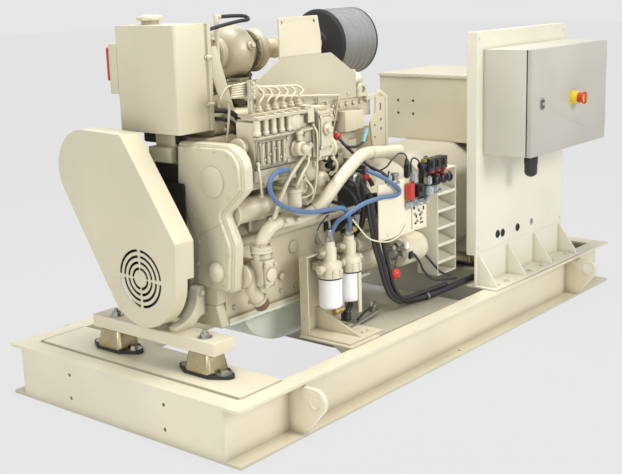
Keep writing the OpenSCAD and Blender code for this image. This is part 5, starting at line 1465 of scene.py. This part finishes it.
add_turned(bm, (-270, -330, 209), UP, [(0, 0), (17, 0), (17, 6), (9, 8), (9, 14), (0, 16)], 20)
turns = [a * math.pi / 8 for a in range(17)]
add_tube(bm, [(-270 + 15 * math.sin(a), -330, 236 - 15 * math.cos(a)) for a in turns], 4.5, 10)
add_tubes(bm,
          [([(-600, -370, 680), (-590, -366, 652), (-582, -362, 628)], 5.0),
           ([(-660, -366, 633), (-640, -360, 600), (-606, -345, 560)], 5.0)], 4, 10)
add_turned(bm, (-394, -350, 600), UP, [(0, 0), (9, 0), (9, 24), (12, 26), (12, 44), (0, 46)], 6)
add_boss(bm, (-330, -288, 770), SERVICE, [(30, 0), (30, 20), (22, 26), (22, 42)])
for x, z in [(-68, 592), (-40, 604), (-20, 590), (-52, 560), (-24, 566)]:
    add_boss(bm, (x, -404, z), SERVICE, [(6, -2), (6, 5), (4, 7)], 12)
finish_piece("plated_fittings", bm, GREY_STEEL, sharp=32)
print("plated fittings made")

# %% [markdown]
# ## Junction panel
# A thin pale plate under the junctions carries a few dark rectangles. They stand for marks
# too small to read, so they are plain and bear no word.

# %% Junction panel
bm = bmesh.new()
add_box(bm, (-86, -404.5, 530), (14, -400, 640), 1)
finish_piece("junction_panel", bm, PANEL_WHITE)

bm = bmesh.new()
for x, z, w, h in [(-78, 612, 10, 12), (-62, 574, 8, 14), (-36, 578, 12, 8), (-8, 600, 8, 16),
                   (-30, 546, 22, 6), (-70, 548, 12, 8)]:
    add_box(bm, (x, -407, z), (x + w, -404, z + h), 0.8)
finish_piece("junction_marks", bm, SHADE_AND_PRINT_BLACK)
print("junction panel made")

# %% [markdown]
# ## Blue and brass parts
# A blue sleeve beside the pump, a blue ring round the cabinet's gland and two brass fittings
# at the filters end the small parts.

# %% Blue and brass parts
bm = bmesh.new()
add_tube(bm, [(-280, -304, 914), (-250, -302, 964)], 7.5, 14)
add_turned(bm, (563, -600, 779), DOWN, [(20, 0), (29.5, 1), (29.5, 7), (20, 8)], 40)
finish_piece("blue_parts", bm, BLUE)

bm = bmesh.new()
add_boss(bm, (-556, -353, 282), REAR, [(13, 0), (13, 22), (9, 25), (9, 44), (12, 46), (12, 58)], 6)
add_boss(bm, (-433, -342, 573), (0.5, -0.5, 0.7), [(9, 0), (9, 20), (12, 22), (12, 34)], 6)
finish_piece("brass_fittings", bm, BRASS, sharp=32)
print("blue and brass parts made")

# %% [markdown]
# ## Filter heads
# Each head is a casting with a ribbed rim, a domed shoulder and a tall boss, into which the
# hose union is screwed. Plugs close its sides, and a strap hangs down over the second can.
# The ribs are one small box, copied round the axis by a rotation.

# %% Filter heads
RIBS = 10
bm = bmesh.new()
for x in CANS:
    add_boss(bm, (x, CAN_Y, 433), UP,
             [(50, 0), (50, 26), (46, 31), (46, 46), (40, 56), (30, 62), (27, 66), (27, 112),
              (22, 120), (20, 140)], 40)
    for k in range(RIBS):
        turn = Matrix.Rotation(2 * math.pi * k / RIBS, 4, "Z")
        add_box(bm, (-4, 44, 2), (4, 51.5, 30), 1.5, facing((x, CAN_Y, 433), UP) @ turn)
    add_box(bm, (x - 34, -350, 452), (x + 34, -283, 496), 6)
    add_box(bm, (x - 24, -345, 496), (x + 24, -300, 532), 8)
    for side in (-1, 1):
        add_boss(bm, (x, CAN_Y, 470), (side, 0, 0), [(17, 0), (17, 58)])
        add_boss(bm, (x + side * 56, CAN_Y, 470), (side, 0, 0), [(19, 0), (19, 11), (14, 15)], 6)
    add_turned(bm, (x - 26, -345, 520), (-0.6, -0.3, 0.8),
               [(0, -10), (10, -10), (10, 10), (13, 12), (13, 20), (0, 22)], 6)
    for dx, dz in ((-26, 0), (26, 0), (0, -14)):
        add_bolt(bm, (x + dx, -350, 484 + dz), SERVICE, 6, 6)
add_box(bm, (-462, -403, 264), (-440, -398, 428), 1.5)
add_box(bm, (-520, -350, 470), (-508, -300, 500), 3)
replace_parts(finish_piece("filter_head_castings", bm, CAST), "filter_heads")
print("filter heads made")

# %% [markdown]
# ## Door and switch
# The door's lock and the yellow disc on the switch are bought parts. The lock rides on the
# door and the disc on the knob, so each is given the body that carries it.

# %% Door and switch
bm = bmesh.new()
add_box(bm, (413, -728, 989), (443, -720.2, 1035), 5)
finish_piece("door_lock", bm, BLACK, BODY_OF["control_box_door"])

bm = bmesh.new()
add_boss(bm, (428, -730.5, 1012), SERVICE, [(5, -3), (5, 0.5)])
finish_piece("lock_barrel", bm, GREY_STEEL, BODY_OF["control_box_door"])

bm = bmesh.new()
add_boss(bm, (718, -776.1, 1012), SERVICE, [(21, -1), (21, 0.6)], 36)
finish_piece("switch_disc", bm, YELLOW, BODY_OF["switch_knob"])
print("lock and disc made")

# %% [markdown]
# ## Grommets, plug and small holes
# The panel plate has cable holes with rubber grommets, one closed by a plug, and a row of
# small fixing holes. A thin black disc reads as a small hole at this size, and saves cutting
# the plate.

# %% Grommets, plug and small holes
PANEL_FACE = -488
HOLES = [(324, 753), (325, 584), (452, 593), (517, 592), (582, 590), (655, 594), (725, 598), (446, 482),
         (512, 480), (579, 479), (646, 478), (714, 476), (874, 465)]
bm = bmesh.new()
for x, z in [(467, 412), (512, 409), (649, 408)]:
    add_boss(bm, (x, PANEL_FACE, z), SERVICE,
             [(12, -3), (13, 0), (17, 0), (18.5, 2.5), (17, 4.5), (13, 4.5), (12, 0)], 28)
for x, z in HOLES:
    add_boss(bm, (x, PANEL_FACE, z), SERVICE, [(4.2, 0), (4.2, 0.5)], 12)
finish_piece("cable_grommets", bm, RUBBER)

bm = bmesh.new()
add_boss(bm, (784, PANEL_FACE, 410), SERVICE, [(17, -3), (17, 1), (15, 2)], 28)
finish_piece("blanking_plug", bm, GREY_STEEL)
print("grommets made, with", len(HOLES), "small holes")

# %% [markdown]
# ## Cable gland
# A black gland with a domed end hangs under the cabinet, and its nut has ribs for the
# fingers. It replaces the frame's plain one.

# %% Cable gland
GLAND = (563, -600, 789.7)
GLAND_RIBS = 16
bm = bmesh.new()
add_turned(bm, GLAND, DOWN,
           [(0, 0), (22, 0), (22, 16), (28, 20), (29, 24), (29, 98), *dome(29, 23, 98), (0, 121)],
           36)
for k in range(GLAND_RIBS):
    turn = Matrix.Rotation(2 * math.pi * k / GLAND_RIBS, 4, "Z")
    add_box(bm, (27.5, -2.4, 26), (30.4, 2.4, 62), 1, facing(GLAND, DOWN) @ turn)
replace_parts(finish_piece("box_gland", bm, BLACK), "cable_gland")
print("gland made with", GLAND_RIBS, "ribs")

# %% [markdown]
# ## Bolts at the generator's end
# The panel foot and the filter rack are bolted to the skid. The terminal box's lid is held
# by a row of screws on two sides, and the panel plate has one near each corner.

# %% Bolts at the generator's end
bm = bmesh.new()
for x in (350, 430, 560, 640, 760, 860, 1010, 1060):
    add_bolt(bm, (x, -560, 211), UP, 9, 8)
for x in range(640, 1090, 70):
    add_screw(bm, (x, -330, 1093), SERVICE, 5)
for y in range(-290, 250, 75):
    add_screw(bm, (606, y, 1093), FRONT, 5)
for x, z in [(300, 380), (300, 1290), (1068, 380), (1068, 1290)]:
    add_screw(bm, (x, -490, z), SERVICE, 6)
for x in (-530, -500):
    add_bolt(bm, (x, -477, 215), UP, 9, 8)
add_screw(bm, (-257, -400, 539), SERVICE, 6)
finish_piece("cabinet_bolts", bm, SHEET)
print("bolts made")

# %% [markdown]
# ## Front deck and can gaskets
# The deck paint is darkened under the engine as painted shade, while the front deck shows
# the steelwork's clean cream paint. All decks are one node with one finish, so the front
# one gets a skin of its own, half a millimetre proud. Last come the black gaskets between
# the cans and their heads.

# %% Front deck and can gaskets
OVER_SIDES, OVER_TOP, DOWN_SIDES, DECK_END, FAR_TRIM = 0.6, 0.5, 5.6, -1087.4, 25
bm = bmesh.new()
deck_low, deck_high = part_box("deck_plates")
x, y, top = [v / MM for v in (deck_low[0], deck_low[1], deck_high[2])]
low = (x - OVER_SIDES, y - OVER_SIDES, top - DOWN_SIDES)
add_box(bm, low, (DECK_END, -y - FAR_TRIM, top + OVER_TOP))
finish_piece("front_deck_paint", bm, STEEL)

bm = bmesh.new()
for x in CANS:
    add_turned(bm, (x, CAN_Y, 426), UP, [(44, 0), (47, 1), (47, 6), (44, 7)], 40)
finish_piece("can_gaskets", bm, RUBBER)
print("deck skin and gaskets made")
